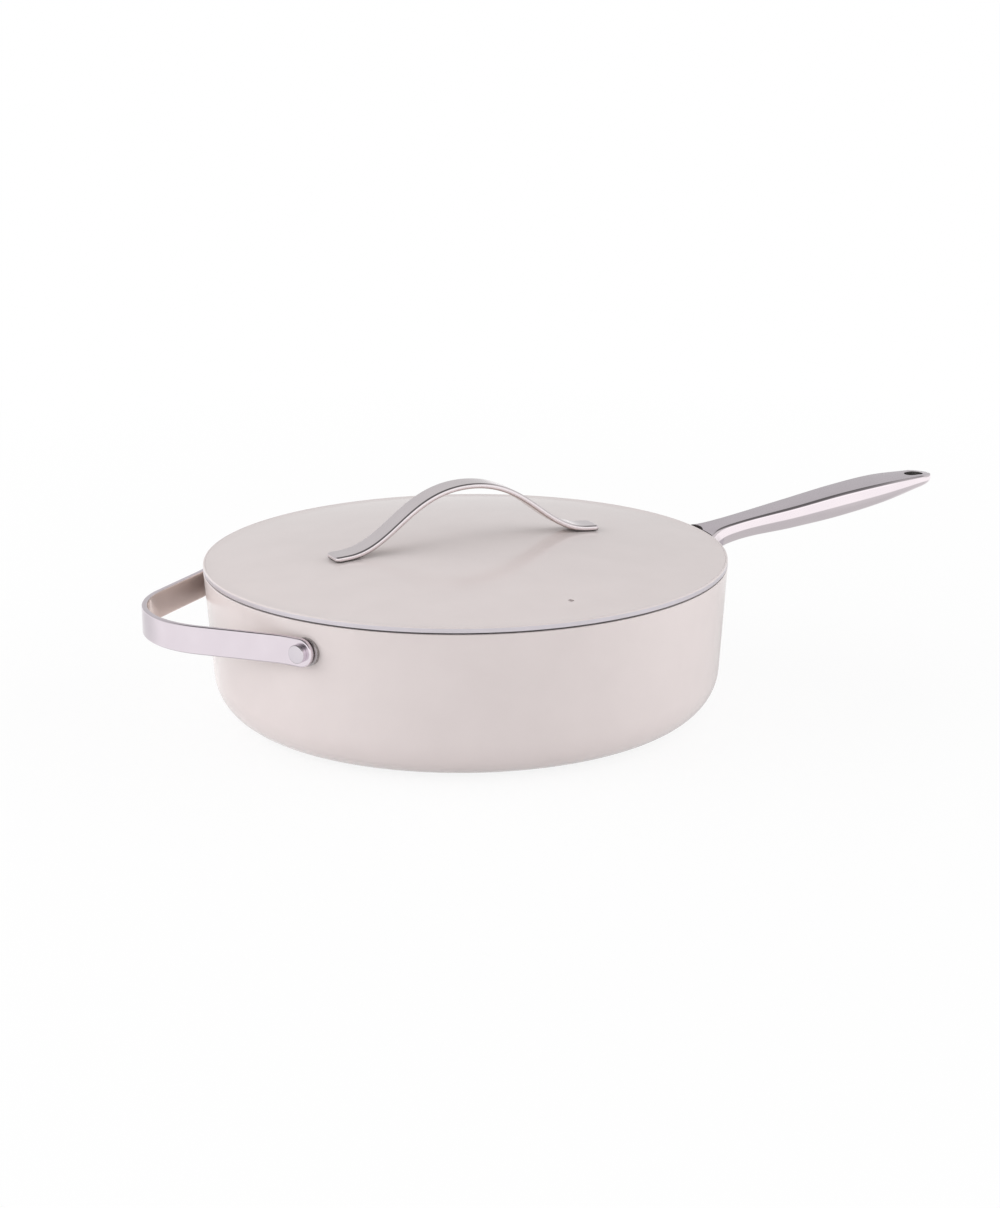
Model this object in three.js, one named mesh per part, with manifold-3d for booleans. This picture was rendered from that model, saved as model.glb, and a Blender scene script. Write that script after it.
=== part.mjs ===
// Deep frying pan with a lift-off lid: coated body, steel long handle, steel helper handle, domed lid.
// Millimetres, +Z up. The origin is the centre of the base where the pan stands.
// +X runs along the long handle, and the helper handle is on the -X side.
import * as THREE from 'three';
import { mergeVertices } from 'three/addons/utils/BufferGeometryUtils.js';
import Module from 'manifold-3d';

const wasm = await Module();
wasm.setup();

const degrees = THREE.MathUtils.degToRad;

// Fits
const CLEARANCE = 0.3; // between pieces that touch
const LID_PASS = 2.4; // between the lid edge and the root of the long handle
const SKIRT_PLAY = 0.7; // between the lower edge of the lid skirt and the wall
const SKIRT_ABOVE_RIVETS = 2.2; // between the lid skirt and the inner rivet heads

// Facets
const TURN_STEPS = 64; // round the body and the lid
const SMALL_STEPS = 16; // round rivets, studs and washers
const CURVE_STEPS = 3; // along a rounded edge, twice that along an arc
const BAND_STEPS = 5; // along each bend of a strap, twice that along an arc
const LOFT_STEPS = 3; // between two sections of the long handle
const END_STEPS = 5; // round the end of a strap or of the long handle
const END_TURN = degrees(80); // how far an end is rounded before its last small flat
const FULL_ROUND = 0.98; // share of half a thickness that the fullest rounding takes
const WELD = 1e-4; // points closer than this are one

// Body
const RIM_RADIUS = 140;
const RIM_HEIGHT = 80;
const RIM_ROUND = 0.9;
const WALL = 3.2;
const WALL_DRAFT = degrees(4.1); // the wall leans out towards the rim
const FLOOR = 4.5;
const CORNER_RADIUS = 25;

// Base plate, let into the underside
const BASE_PLATE_THICKNESS = 1.2;
const BASE_PLATE_STAND = 0.3; // how far it stands below the body
const BASE_PLATE_MARGIN = 11; // from its edge to the rounded corner of the body

// Rivets
const RIVET_SHANK_RADIUS = 2.4;
const RIVET_HEAD_RADIUS = 4.8;
const RIVET_HEAD_HEIGHT = 2.5;
const RIVET_HEAD_ROUND = 0.8;
const RIVET_HEAD_CROWN = 0.3;
const RIVET_INNER_RADIUS = 6;
const RIVET_INNER_HEIGHT = 1.4;

// Helper handle, a strap bent round in plan with a full-round end on each rivet
const HELPER_REACH = 37; // from the rim to the outer face
const HELPER_WIDTH = 14.8;
const HELPER_GAUGE = 3;
const HELPER_EDGE = 0.8; // rounding of its long edges
const HELPER_DROP = 15.2; // from the rim down to its middle
const HELPER_BOW_RADIUS = 45; // outer face of the grip
const HELPER_RIVET_ANGLE = degrees(33.5); // from the -X axis
const HELPER_FLAT = 12; // straight stretch before the rivet
const HELPER_BEND = 5; // length of the bend on each side of its corner
const HELPER_PAD_THICKNESS = 1.5;
const HELPER_PAD_INSET = 0.3; // how far the spacer stays inside the strap end

// Long handle: a flange on the wall and a grip lofted through sections
const FLANGE_WIDTH = 46;
const FLANGE_HEIGHT = 27;
const FLANGE_THICKNESS = 3;
const FLANGE_CORNER = 9;
const FLANGE_DROP = 1.2; // from the rim down to its top edge
const FLANGE_RIVET_SPREAD = 29; // between its two rivets
const FLANGE_RIVET_RAISE = 8.2; // from its bottom edge up to the rivets
const HANDLE_LENGTH = 143.6; // from the rim to the tip
const HANDLE_NECK = 18; // from the rim to the narrowest section
const HANDLE_TAPER = 32; // from the start of the end taper to the tip
const HANDLE_TIP_ROUND = 9; // length of the rounded tip
const HANDLE_SLOT_LENGTH = 12.5;
const HANDLE_SLOT_WIDTH = 8.6;
const HANDLE_SLOT_WALL = 3.6; // metal left between the slot and the tip

// Sections of the long handle: distance from the rim, width, top above the rim, depth below the top
const HANDLE_WIDEST = HANDLE_LENGTH - HANDLE_TAPER;
const alongGrip = (share) => THREE.MathUtils.lerp(HANDLE_NECK, HANDLE_WIDEST, share);
const HANDLE_SECTIONS = [
  { out: -5, width: 36, top: 2.6, depth: 17 },
  { out: 2.5, width: 26, top: 3.9, depth: 17.4 },
  { out: 5, width: 21.6, top: 4.7, depth: 16 },
  { out: HANDLE_NECK / 2, width: 18.2, top: 5.7, depth: 13.8 },
  { out: HANDLE_NECK, width: 16.2, top: 7.4, depth: 12.3 },
  { out: alongGrip(0.4), width: 19.8, top: 13.7, depth: 14.2 },
  { out: alongGrip(0.7), width: 21.4, top: 18.6, depth: 15.5 },
  { out: HANDLE_WIDEST, width: 22.2, top: 21.7, depth: 13.2 },
  { out: HANDLE_LENGTH - HANDLE_TIP_ROUND, width: 17, top: 23.3, depth: 8.2 },
];
const HANDLE_TIP = { top: 23.6, depth: 5.6 };

// Right half of every section, from the keel up: shares of half the width and of the depth
const HANDLE_OUTLINE = [[0.28, -1], [0.62, -0.9], [0.86, -0.71], [1.02, -0.44], [1, -0.1], [0.92, 0]];

// Lid, seated on the rim by its steel band
const LID_EDGE = 3.4; // height of the band
const LID_EDGE_ROUND = 0.8; // top edge of the band
const LID_GROOVE = 0.6; // height of the groove that parts the band from the rim
const LID_GROOVE_DEPTH = 1.2;
const LID_LIP = 1.2; // width of the band round the sheet
const LID_SHEET = 1.6;
const LID_LAND = 4; // flat border of the sheet, seated in the band
const LID_DOME = 8.4;
const SKIRT = 1;
const VENT_RADIUS = 1.6;
const VENT_INSET = 20.5; // from the flat border of the sheet
const VENT_ANGLE = degrees(-87.2); // from the lid handle
const LID_TURN = degrees(3.5); // the lid lies turned a little from the long handle

// Lid handle, an arched strap along X
const LID_HANDLE_SPAN = 154.4;
const LID_HANDLE_WIDTH = 14;
const LID_HANDLE_GAUGE = 3;
const LID_HANDLE_EDGE = 1.1; // rounding of its long edges
const LID_HANDLE_END_ROUND = 2.2;
const LID_HANDLE_GAP = 29; // finger room between the crown of the lid and the arch
const LID_HANDLE_FOOT = 9.5; // straight stretch at each end
const LID_HANDLE_SWEEP = 14; // pull of the foot on the curve
const LID_HANDLE_SHOULDER = 33; // pull of the arch on the curve

// Studs, washers and cap nuts under the lid handle
const STUD_RADIUS = 2.5;
const STUD_INSET = 6.5; // from the end of the strap
const WASHER_RADIUS = 6;
const WASHER_THICKNESS = 0.9;
const NUT_ACROSS = 8;
const NUT_HEIGHT = 4;
const NUT_CAP = 2.4;

// Sizes that follow from the ones above
const WALL_ACROSS = WALL / Math.cos(WALL_DRAFT); // the wall, measured level
const INNER_RIM = RIM_RADIUS - WALL_ACROSS;
const FLOOR_TOP = BASE_PLATE_STAND + FLOOR;
const RIVET_HOLE_RADIUS = RIVET_SHANK_RADIUS + CLEARANCE;
const FLANGE_RIVET_DROP = FLANGE_DROP + FLANGE_HEIGHT - FLANGE_RIVET_RAISE;
const HIGHEST_RIVET_DROP = Math.min(HELPER_DROP, FLANGE_RIVET_DROP);
const SKIRT_DEPTH = HIGHEST_RIVET_DROP - RIVET_INNER_RADIUS - SKIRT_ABOVE_RIVETS;
const LID_SEAT = RIM_HEIGHT + CLEARANCE;
const LID_RADIUS = RIM_RADIUS; // flush with the rim
const LID_PLATE_RADIUS = LID_RADIUS - LID_LIP - CLEARANCE;
const LID_LEDGE = LID_EDGE - LID_SHEET;
const LID_DOME_RADIUS = LID_PLATE_RADIUS - LID_LAND;
const LID_CROWN = LID_EDGE + LID_DOME;
const VENT_DISTANCE = LID_DOME_RADIUS - VENT_INSET;
const LID_SPHERE = (LID_DOME_RADIUS ** 2 + LID_DOME ** 2) / (2 * LID_DOME);
const STUD_AT = LID_HANDLE_SPAN / 2 - STUD_INSET;
const STUD_TILT = Math.asin(STUD_AT / LID_SPHERE);

// Outer radius of the body's wall at a height
const wallRadius = (z) => RIM_RADIUS - (RIM_HEIGHT - z) * Math.tan(WALL_DRAFT);

// Materials, one of its own for each piece
const coat = () => new THREE.MeshStandardMaterial({ color: 0xe3dad4, roughness: 0.45, metalness: 0 });
const steel = () => new THREE.MeshStandardMaterial({ color: 0xc4bec0, roughness: 0.28, metalness: 1 });
const brushed = () => new THREE.MeshStandardMaterial({ color: 0xbab3b2, roughness: 0.42, metalness: 1 });

function piece(name, geometry, material) {
  const mesh = new THREE.Mesh(geometry, material);
  mesh.name = name;
  return mesh;
}

// A closed geometry as a solid that can be joined and cut
function toSolid(geometry) {
  const bare = new THREE.BufferGeometry();
  bare.setAttribute('position', geometry.getAttribute('position'));
  bare.setIndex(geometry.getIndex());
  const merged = mergeVertices(bare, WELD);
  const corners = merged.getIndex().array;
  const triangles = [];
  for (let i = 0; i < corners.length; i += 3) {
    const triangle = corners.subarray(i, i + 3);
    if (new Set(triangle).size === 3) {
      triangles.push(...triangle);
    }
  }
  return new wasm.Manifold(new wasm.Mesh({
    numProp: 3,
    vertProperties: merged.getAttribute('position').array,
    triVerts: new Uint32Array(triangles),
  }));
}

function toGeometry(solid) {
  const { vertProperties, triVerts } = solid.getMesh();
  const geometry = new THREE.BufferGeometry();
  geometry.setAttribute('position', new THREE.BufferAttribute(vertProperties, 3));
  geometry.setIndex(new THREE.BufferAttribute(triVerts, 1));
  geometry.computeVertexNormals();
  return geometry;
}

// A profile of radius and height turned round the Z axis
function revolve(profile, steps) {
  return new THREE.LatheGeometry(profile.getPoints(CURVE_STEPS), steps).rotateX(Math.PI / 2);
}

// A profile with straight edges only, from its corners
function straightProfile(corners) {
  return new THREE.Path(corners.map(([radius, height]) => new THREE.Vector2(radius, height)));
}

// A round rod along the Z axis of a placement
function rod(radius, from, to, placement) {
  return new THREE.CylinderGeometry(radius, radius, to - from, SMALL_STEPS)
    .rotateX(Math.PI / 2)
    .translate(0, 0, (from + to) / 2)
    .applyMatrix4(placement);
}

// A closed surface through rings of equally many points, with flat ends
function loft(rings) {
  const count = rings[0].length;
  const last = (rings.length - 1) * count;
  const triangles = [];
  for (let start = 0; start < last; start += count) {
    for (let j = 0; j < count; j++) {
      const a = start + j;
      const b = start + ((j + 1) % count);
      triangles.push(a, b, a + count, b, b + count, a + count);
    }
  }
  for (let j = 1; j + 1 < count; j++) {
    triangles.push(0, j + 1, j, last, last + j, last + j + 1);
  }
  const geometry = new THREE.BufferGeometry().setFromPoints(rings.flat());
  geometry.setIndex(triangles);
  geometry.computeVertexNormals();
  return geometry;
}

// Outline of a strap's section: gauge by width, with rounded edges
function bandSection(gauge, width, edge) {
  const round = Math.min(edge, FULL_ROUND * gauge / 2, FULL_ROUND * width / 2);
  const centres = [[1, 1], [-1, 1], [-1, -1], [1, -1]];
  return centres.flatMap(([sideways, along], quarter) => [0, 1, 2].map((step) => {
    const angle = (quarter + step / 2) * Math.PI / 2;
    return new THREE.Vector2(
      sideways * (gauge / 2 - round) + round * Math.cos(angle),
      along * (width / 2 - round) + round * Math.sin(angle),
    );
  }));
}

// A strap along stations of point and width, lying across one direction all the way
function sweepBand(stations, across, gauge, edge) {
  return loft(stations.map(({ point, width }, i) => {
    const before = stations[Math.max(i - 1, 0)].point;
    const after = stations[Math.min(i + 1, stations.length - 1)].point;
    const normal = across.clone().cross(after.clone().sub(before)).normalize();
    return bandSection(gauge, width, edge).map(({ x, y }) => (
      point.clone().addScaledVector(normal, x).addScaledVector(across, y)
    ));
  }));
}

// Stations of one half of a strap, from its middle out, with their mirror image before them
function bothHalves(half, mirror) {
  const other = half.slice(1).reverse();
  return [...other.map(({ point, width }) => ({ point: point.clone().multiply(mirror), width })), ...half];
}

// A placement at a point, with its Z axis along a direction
function facing(point, direction) {
  const turn = new THREE.Quaternion().setFromUnitVectors(new THREE.Vector3(0, 0, 1), direction);
  return new THREE.Matrix4().compose(point, turn, new THREE.Vector3(1, 1, 1));
}

// Centre of the arc that joins a level floor to the leaning wall
function cornerCentre(rimRadius, floor, corner) {
  const lean = (RIM_HEIGHT - floor - corner) * Math.tan(WALL_DRAFT);
  return new THREE.Vector2(rimRadius - lean - corner / Math.cos(WALL_DRAFT), floor + corner);
}

const outerCorner = cornerCentre(RIM_RADIUS, BASE_PLATE_STAND, CORNER_RADIUS);
const basePlateRadius = outerCorner.x - BASE_PLATE_MARGIN;

// Body: recess for the base plate, rounded corner, leaning wall, rounded rim and the inside
function bodyProfile() {
  const innerRadius = CORNER_RADIUS - WALL;
  const innerCorner = cornerCentre(INNER_RIM, FLOOR_TOP, innerRadius);
  const shoulder = RIM_HEIGHT - RIM_ROUND;
  const profile = new THREE.Path();
  profile.moveTo(0, BASE_PLATE_THICKNESS);
  profile.lineTo(basePlateRadius + CLEARANCE, BASE_PLATE_THICKNESS);
  profile.lineTo(basePlateRadius + CLEARANCE, BASE_PLATE_STAND);
  profile.absarc(outerCorner.x, outerCorner.y, CORNER_RADIUS, -Math.PI / 2, -WALL_DRAFT);
  profile.lineTo(wallRadius(shoulder), shoulder);
  profile.quadraticCurveTo(RIM_RADIUS, RIM_HEIGHT, RIM_RADIUS - RIM_ROUND, RIM_HEIGHT);
  profile.lineTo(INNER_RIM + RIM_ROUND, RIM_HEIGHT);
  profile.quadraticCurveTo(INNER_RIM, RIM_HEIGHT, wallRadius(shoulder) - WALL_ACROSS, shoulder);
  profile.absarc(innerCorner.x, innerCorner.y, innerRadius, -WALL_DRAFT, -Math.PI / 2, true);
  profile.lineTo(0, FLOOR_TOP);
  return profile;
}

function basePlate() {
  const chamfer = BASE_PLATE_STAND;
  return revolve(straightProfile([
    [0, 0],
    [basePlateRadius - chamfer, 0],
    [basePlateRadius, chamfer],
    [basePlateRadius, BASE_PLATE_THICKNESS],
    [0, BASE_PLATE_THICKNESS],
  ]), TURN_STEPS);
}

// Filled space of the body and of the lid's way up, with clearance, which the handles stay out of
const bodySpace = toSolid(revolve(straightProfile([
  [0, 0],
  [wallRadius(0) + CLEARANCE, 0],
  [wallRadius(RIM_HEIGHT - CLEARANCE) + CLEARANCE, RIM_HEIGHT - CLEARANCE],
  [LID_RADIUS + LID_PASS, RIM_HEIGHT - CLEARANCE],
  [LID_RADIUS + LID_PASS, RIM_HEIGHT + LID_CROWN],
  [0, RIM_HEIGHT + LID_CROWN],
]), TURN_STEPS));

// Space inside the leaning wall, with clearance, which the inner rivet heads stay in
const insideSpace = toSolid(revolve(straightProfile([
  [0, 0],
  [wallRadius(0) - WALL_ACROSS - CLEARANCE, 0],
  [INNER_RIM - CLEARANCE, RIM_HEIGHT],
  [0, RIM_HEIGHT],
]), TURN_STEPS));

// A rivet through the wall, with its outer head on a seat that far outside the wall
function rivet(placement, seat) {
  const bottom = seat + CLEARANCE;
  const top = bottom + RIVET_HEAD_HEIGHT;
  const outer = new THREE.Path();
  outer.moveTo(0, bottom);
  outer.lineTo(RIVET_HEAD_RADIUS, bottom);
  outer.lineTo(RIVET_HEAD_RADIUS, top - RIVET_HEAD_ROUND);
  outer.quadraticCurveTo(RIVET_HEAD_RADIUS, top, RIVET_HEAD_RADIUS - RIVET_HEAD_ROUND, top);
  outer.lineTo(0, top + RIVET_HEAD_CROWN);
  const innerTop = -WALL_ACROSS - RIVET_INNER_HEIGHT;
  const inner = new THREE.Path();
  inner.moveTo(0, innerTop);
  inner.quadraticCurveTo(RIVET_INNER_RADIUS, innerTop, RIVET_INNER_RADIUS, -WALL_ACROSS);
  inner.lineTo(RIVET_INNER_RADIUS, 0);
  inner.lineTo(0, 0);
  const [outerHead, innerHead] = [outer, inner].map((profile) => (
    toSolid(revolve(profile, SMALL_STEPS).applyMatrix4(placement))
  ));
  const shankFrom = innerTop + RIVET_INNER_HEIGHT / 2;
  const shankTo = top - RIVET_HEAD_HEIGHT / 2;
  const shank = toSolid(rod(RIVET_SHANK_RADIUS, shankFrom, shankTo, placement));
  return toGeometry(innerHead.intersect(insideSpace).add(shank).add(outerHead));
}

// The hole for a rivet, through the wall and what is on it
function rivetHole(placement, seat) {
  const spare = RIVET_INNER_HEIGHT + CLEARANCE;
  return toSolid(rod(RIVET_HOLE_RADIUS, -WALL_ACROSS - spare, seat + spare, placement));
}

// Room for the outer head of a rivet on its seat
function rivetRoom(placement, seat) {
  const top = seat + RIVET_HEAD_HEIGHT + RIVET_HEAD_CROWN;
  return toSolid(rod(RIVET_HEAD_RADIUS + CLEARANCE, seat, top + 2 * CLEARANCE, placement));
}

// Helper handle: each end has a placement on the wall, a spacer and a rivet
const helperHeight = RIM_HEIGHT - HELPER_DROP;
const helperStand = HELPER_PAD_THICKNESS + 2 * CLEARANCE; // from the wall to the strap
const helperSeat = helperStand + HELPER_GAUGE;
const helperOut = (side) => (
  new THREE.Vector3(-Math.cos(HELPER_RIVET_ANGLE), side * Math.sin(HELPER_RIVET_ANGLE), 0)
);

function helperPlacement(side) {
  const outward = helperOut(side);
  const point = outward.clone().multiplyScalar(wallRadius(helperHeight)).setZ(helperHeight);
  return facing(point, outward);
}

// Middle of the strap in plan, from the bow to the rivet on the +Y side
function helperRoute() {
  const outward = helperOut(1);
  const rivetRadius = wallRadius(helperHeight) + helperStand + HELPER_GAUGE / 2;
  const rivetPoint = new THREE.Vector2(outward.x, outward.y).multiplyScalar(rivetRadius);
  const along = new THREE.Vector2(outward.y, -outward.x);
  const corner = rivetPoint.clone().addScaledVector(along, -HELPER_FLAT);
  const bowRadius = HELPER_BOW_RADIUS - HELPER_GAUGE / 2;
  const bowCentre = new THREE.Vector2(HELPER_BOW_RADIUS - RIM_RADIUS - HELPER_REACH, 0);
  const toCorner = corner.clone().sub(bowCentre);
  const leave = toCorner.angle() + Math.acos(bowRadius / toCorner.length());
  const arm = new THREE.Vector2(Math.sin(leave), -Math.cos(leave));
  const bendStart = corner.clone().addScaledVector(arm, -HELPER_BEND);
  const bendEnd = corner.clone().addScaledVector(along, HELPER_BEND);
  const route = new THREE.Path();
  route.absarc(bowCentre.x, bowCentre.y, bowRadius, Math.PI, leave, true);
  route.lineTo(bendStart.x, bendStart.y);
  route.quadraticCurveTo(corner.x, corner.y, bendEnd.x, bendEnd.y);
  route.lineTo(rivetPoint.x, rivetPoint.y);
  return { route, along };
}

function helperBand() {
  const { route, along } = helperRoute();
  const station = ({ x, y }, width) => ({ point: new THREE.Vector3(x, y, helperHeight), width });
  const middle = route.getPoints(BAND_STEPS);
  const half = middle.map((point) => station(point, HELPER_WIDTH));
  for (let step = 1; step <= END_STEPS; step++) {
    const turn = END_TURN * step / END_STEPS;
    const point = middle.at(-1).clone().addScaledVector(along, HELPER_WIDTH / 2 * Math.sin(turn));
    half.push(station(point, HELPER_WIDTH * Math.cos(turn)));
  }
  const stations = bothHalves(half, new THREE.Vector3(1, -1, 1));
  return sweepBand(stations, new THREE.Vector3(0, 0, 1), HELPER_GAUGE, HELPER_EDGE);
}

function helperPad(placement) {
  const disc = rod(HELPER_WIDTH / 2 - HELPER_PAD_INSET, -WALL_ACROSS, helperStand - CLEARANCE, placement);
  return toSolid(disc).subtract(bodySpace).subtract(rivetHole(placement, helperSeat));
}

// One section of the long handle
function handleRing(out, width, top, depth) {
  const right = HANDLE_OUTLINE.map(([across, down]) => (
    new THREE.Vector3(RIM_RADIUS + out, across * width / 2, RIM_HEIGHT + top + down * depth)
  ));
  const left = right.map(({ x, y, z }) => new THREE.Vector3(x, -y, z)).reverse();
  return [...right, ...left];
}

// The grip: smooth between the sections, then a rounded tip
function handleGrip() {
  const stops = HANDLE_SECTIONS.map(({ out }) => out);
  const values = HANDLE_SECTIONS.flatMap(({ width, top, depth }) => [width, top, depth]);
  const form = new THREE.CubicInterpolant(stops, values, 3);
  const rings = [];
  for (let i = 0; i + 1 < stops.length; i++) {
    for (let step = 0; step < LOFT_STEPS; step++) {
      const out = THREE.MathUtils.lerp(stops[i], stops[i + 1], step / LOFT_STEPS);
      rings.push(handleRing(out, ...form.evaluate(out)));
    }
  }
  const tip = HANDLE_SECTIONS.at(-1);
  for (let step = 0; step <= END_STEPS; step++) {
    const turn = END_TURN * step / END_STEPS;
    const share = Math.sin(turn);
    rings.push(handleRing(
      tip.out + HANDLE_TIP_ROUND * share,
      tip.width * Math.cos(turn),
      THREE.MathUtils.lerp(tip.top, HANDLE_TIP.top, share),
      THREE.MathUtils.lerp(tip.depth, HANDLE_TIP.depth, share),
    ));
  }
  return toSolid(loft(rings));
}

// A shape drawn across Y and Z, drawn out along X
function extrudeAlongX(shape, from, to) {
  const turn = new THREE.Matrix4().makeBasis(
    new THREE.Vector3(0, 1, 0),
    new THREE.Vector3(0, 0, 1),
    new THREE.Vector3(1, 0, 0),
  );
  const options = { depth: to - from, bevelEnabled: false, curveSegments: END_STEPS };
  return new THREE.ExtrudeGeometry(shape, options).applyMatrix4(turn).translate(from, 0, 0);
}

// A rectangle with rounded corners
function roundedRectangle(left, bottom, width, height, corner) {
  const right = left + width;
  const top = bottom + height;
  const shape = new THREE.Shape();
  shape.absarc(right - corner, bottom + corner, corner, -Math.PI / 2, 0);
  shape.absarc(right - corner, top - corner, corner, 0, Math.PI / 2);
  shape.absarc(left + corner, top - corner, corner, Math.PI / 2, Math.PI);
  shape.absarc(left + corner, bottom + corner, corner, Math.PI, 1.5 * Math.PI);
  return shape;
}

// The flange: a rounded plate that follows the wall
const flangeBottom = RIM_HEIGHT - FLANGE_DROP - FLANGE_HEIGHT;

function handleFlange() {
  const left = -FLANGE_WIDTH / 2;
  const outline = roundedRectangle(left, flangeBottom, FLANGE_WIDTH, FLANGE_HEIGHT, FLANGE_CORNER);
  const plate = extrudeAlongX(outline, 0, RIM_RADIUS + HANDLE_LENGTH);
  const outside = (z) => wallRadius(z) + CLEARANCE + FLANGE_THICKNESS;
  const space = revolve(straightProfile([
    [0, 0],
    [outside(0), 0],
    [outside(RIM_HEIGHT), RIM_HEIGHT],
    [0, RIM_HEIGHT],
  ]), TURN_STEPS);
  return toSolid(plate).intersect(toSolid(space));
}

const flangeSeat = FLANGE_THICKNESS + CLEARANCE;

// A rivet of the flange stands square to the leaning wall
function flangePlacement(side) {
  const height = RIM_HEIGHT - FLANGE_RIVET_DROP;
  const turn = Math.asin(side * FLANGE_RIVET_SPREAD / 2 / wallRadius(height));
  const outward = new THREE.Vector3(Math.cos(turn), Math.sin(turn), 0);
  const point = outward.clone().multiplyScalar(wallRadius(height)).setZ(height);
  return facing(point, outward.multiplyScalar(Math.cos(WALL_DRAFT)).setZ(-Math.sin(WALL_DRAFT)));
}

// The slot by which the pan hangs, straight down through the tip
function hangingSlot() {
  const end = RIM_RADIUS + HANDLE_LENGTH - HANDLE_SLOT_WALL;
  const start = end - HANDLE_SLOT_LENGTH;
  const outline = roundedRectangle(
    start, -HANDLE_SLOT_WIDTH / 2, HANDLE_SLOT_LENGTH, HANDLE_SLOT_WIDTH, FULL_ROUND * HANDLE_SLOT_WIDTH / 2,
  );
  const options = { depth: RIM_HEIGHT, bevelEnabled: false, curveSegments: END_STEPS };
  return toSolid(new THREE.ExtrudeGeometry(outline, options).translate(0, 0, RIM_HEIGHT / 2));
}

// Lid heights from here on are measured from the underside of its band
const domeHeight = (radius) => LID_CROWN - LID_SPHERE + Math.sqrt(LID_SPHERE ** 2 - radius ** 2);

function lidBand() {
  const skirtOuter = wallRadius(RIM_HEIGHT - SKIRT_DEPTH) - WALL_ACROSS - SKIRT_PLAY;
  const skirtInner = skirtOuter - SKIRT;
  const lip = LID_RADIUS - LID_LIP;
  const profile = new THREE.Path();
  profile.moveTo(skirtInner, LID_LEDGE);
  profile.lineTo(skirtInner, -SKIRT_DEPTH);
  profile.lineTo(skirtOuter, -SKIRT_DEPTH);
  profile.lineTo(skirtOuter, 0);
  profile.lineTo(LID_RADIUS - LID_GROOVE_DEPTH, 0);
  profile.lineTo(LID_RADIUS - LID_GROOVE_DEPTH, LID_GROOVE);
  profile.lineTo(LID_RADIUS, LID_GROOVE);
  profile.lineTo(LID_RADIUS, LID_EDGE - LID_EDGE_ROUND);
  profile.quadraticCurveTo(LID_RADIUS, LID_EDGE, LID_RADIUS - LID_EDGE_ROUND, LID_EDGE);
  profile.lineTo(lip, LID_EDGE);
  profile.lineTo(lip, LID_LEDGE);
  profile.lineTo(skirtInner, LID_LEDGE);
  return revolve(profile, TURN_STEPS);
}

function lidSheet() {
  const reach = Math.asin(LID_DOME_RADIUS / LID_SPHERE);
  const upright = Math.PI / 2;
  const profile = new THREE.Path();
  profile.absarc(0, LID_CROWN - LID_SHEET - LID_SPHERE, LID_SPHERE, upright, upright - reach, true);
  profile.lineTo(LID_PLATE_RADIUS, LID_LEDGE);
  profile.lineTo(LID_PLATE_RADIUS, LID_EDGE);
  profile.absarc(0, LID_CROWN - LID_SPHERE, LID_SPHERE, upright - reach, upright);
  return toSolid(revolve(profile, TURN_STEPS));
}

// A stud's place on the lid, with its Z axis square to the dome
function studPlacement(side) {
  const point = new THREE.Vector3(side * STUD_AT, 0, domeHeight(STUD_AT));
  return facing(point, new THREE.Vector3(side * Math.sin(STUD_TILT), 0, Math.cos(STUD_TILT)));
}

function lidPlate() {
  const vent = new THREE.Matrix4().makeTranslation(
    VENT_DISTANCE * Math.cos(VENT_ANGLE), VENT_DISTANCE * Math.sin(VENT_ANGLE), LID_CROWN,
  );
  const through = LID_CROWN + SKIRT_DEPTH;
  let plate = lidSheet().subtract(toSolid(rod(VENT_RADIUS, -through, through, vent)));
  for (const side of [-1, 1]) {
    const hole = rod(STUD_RADIUS + CLEARANCE, -2 * LID_SHEET, LID_SHEET, studPlacement(side));
    plate = plate.subtract(toSolid(hole));
  }
  return toGeometry(plate);
}

// The arch: a foot square on each stud, swept up to the middle
function lidHandle() {
  const outward = new THREE.Vector2(Math.cos(STUD_TILT), -Math.sin(STUD_TILT));
  const lift = CLEARANCE + LID_HANDLE_GAUGE / 2;
  const stud = new THREE.Vector2(STUD_AT, domeHeight(STUD_AT));
  stud.add(new THREE.Vector2(Math.sin(STUD_TILT), Math.cos(STUD_TILT)).multiplyScalar(lift));
  const end = stud.clone().addScaledVector(outward, STUD_INSET - LID_HANDLE_END_ROUND);
  const start = stud.clone().addScaledVector(outward, STUD_INSET - LID_HANDLE_FOOT);
  const pull = start.clone().addScaledVector(outward, -LID_HANDLE_SWEEP);
  const arch = LID_CROWN + LID_HANDLE_GAP + LID_HANDLE_GAUGE / 2;
  const route = new THREE.Path();
  route.moveTo(0, arch);
  route.bezierCurveTo(LID_HANDLE_SHOULDER, arch, pull.x, pull.y, start.x, start.y);
  route.lineTo(end.x, end.y);
  const station = ({ x, y }, width) => ({ point: new THREE.Vector3(x, 0, y), width });
  const half = route.getPoints(2 * BAND_STEPS).map((point) => station(point, LID_HANDLE_WIDTH));
  for (const turn of [degrees(45), degrees(90)]) {
    const point = end.clone().addScaledVector(outward, LID_HANDLE_END_ROUND * Math.sin(turn));
    half.push(station(point, LID_HANDLE_WIDTH - 2 * LID_HANDLE_END_ROUND * (1 - Math.cos(turn))));
  }
  const stations = bothHalves(half, new THREE.Vector3(-1, 1, 1));
  return sweepBand(stations, new THREE.Vector3(0, 1, 0), LID_HANDLE_GAUGE, LID_HANDLE_EDGE);
}

// Stack under a foot, from the top of the lid down: lid sheet, washer, cap nut
const washerTop = -LID_SHEET - CLEARANCE;
const nutTop = washerTop - WASHER_THICKNESS - CLEARANCE;
const nutBottom = nutTop - NUT_HEIGHT;
const upright = new THREE.Matrix4();

function washer() {
  const disc = toSolid(rod(WASHER_RADIUS, washerTop - WASHER_THICKNESS, washerTop, upright));
  const bore = toSolid(rod(STUD_RADIUS + CLEARANCE, nutTop, 0, upright));
  return toGeometry(disc.subtract(bore));
}

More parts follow.
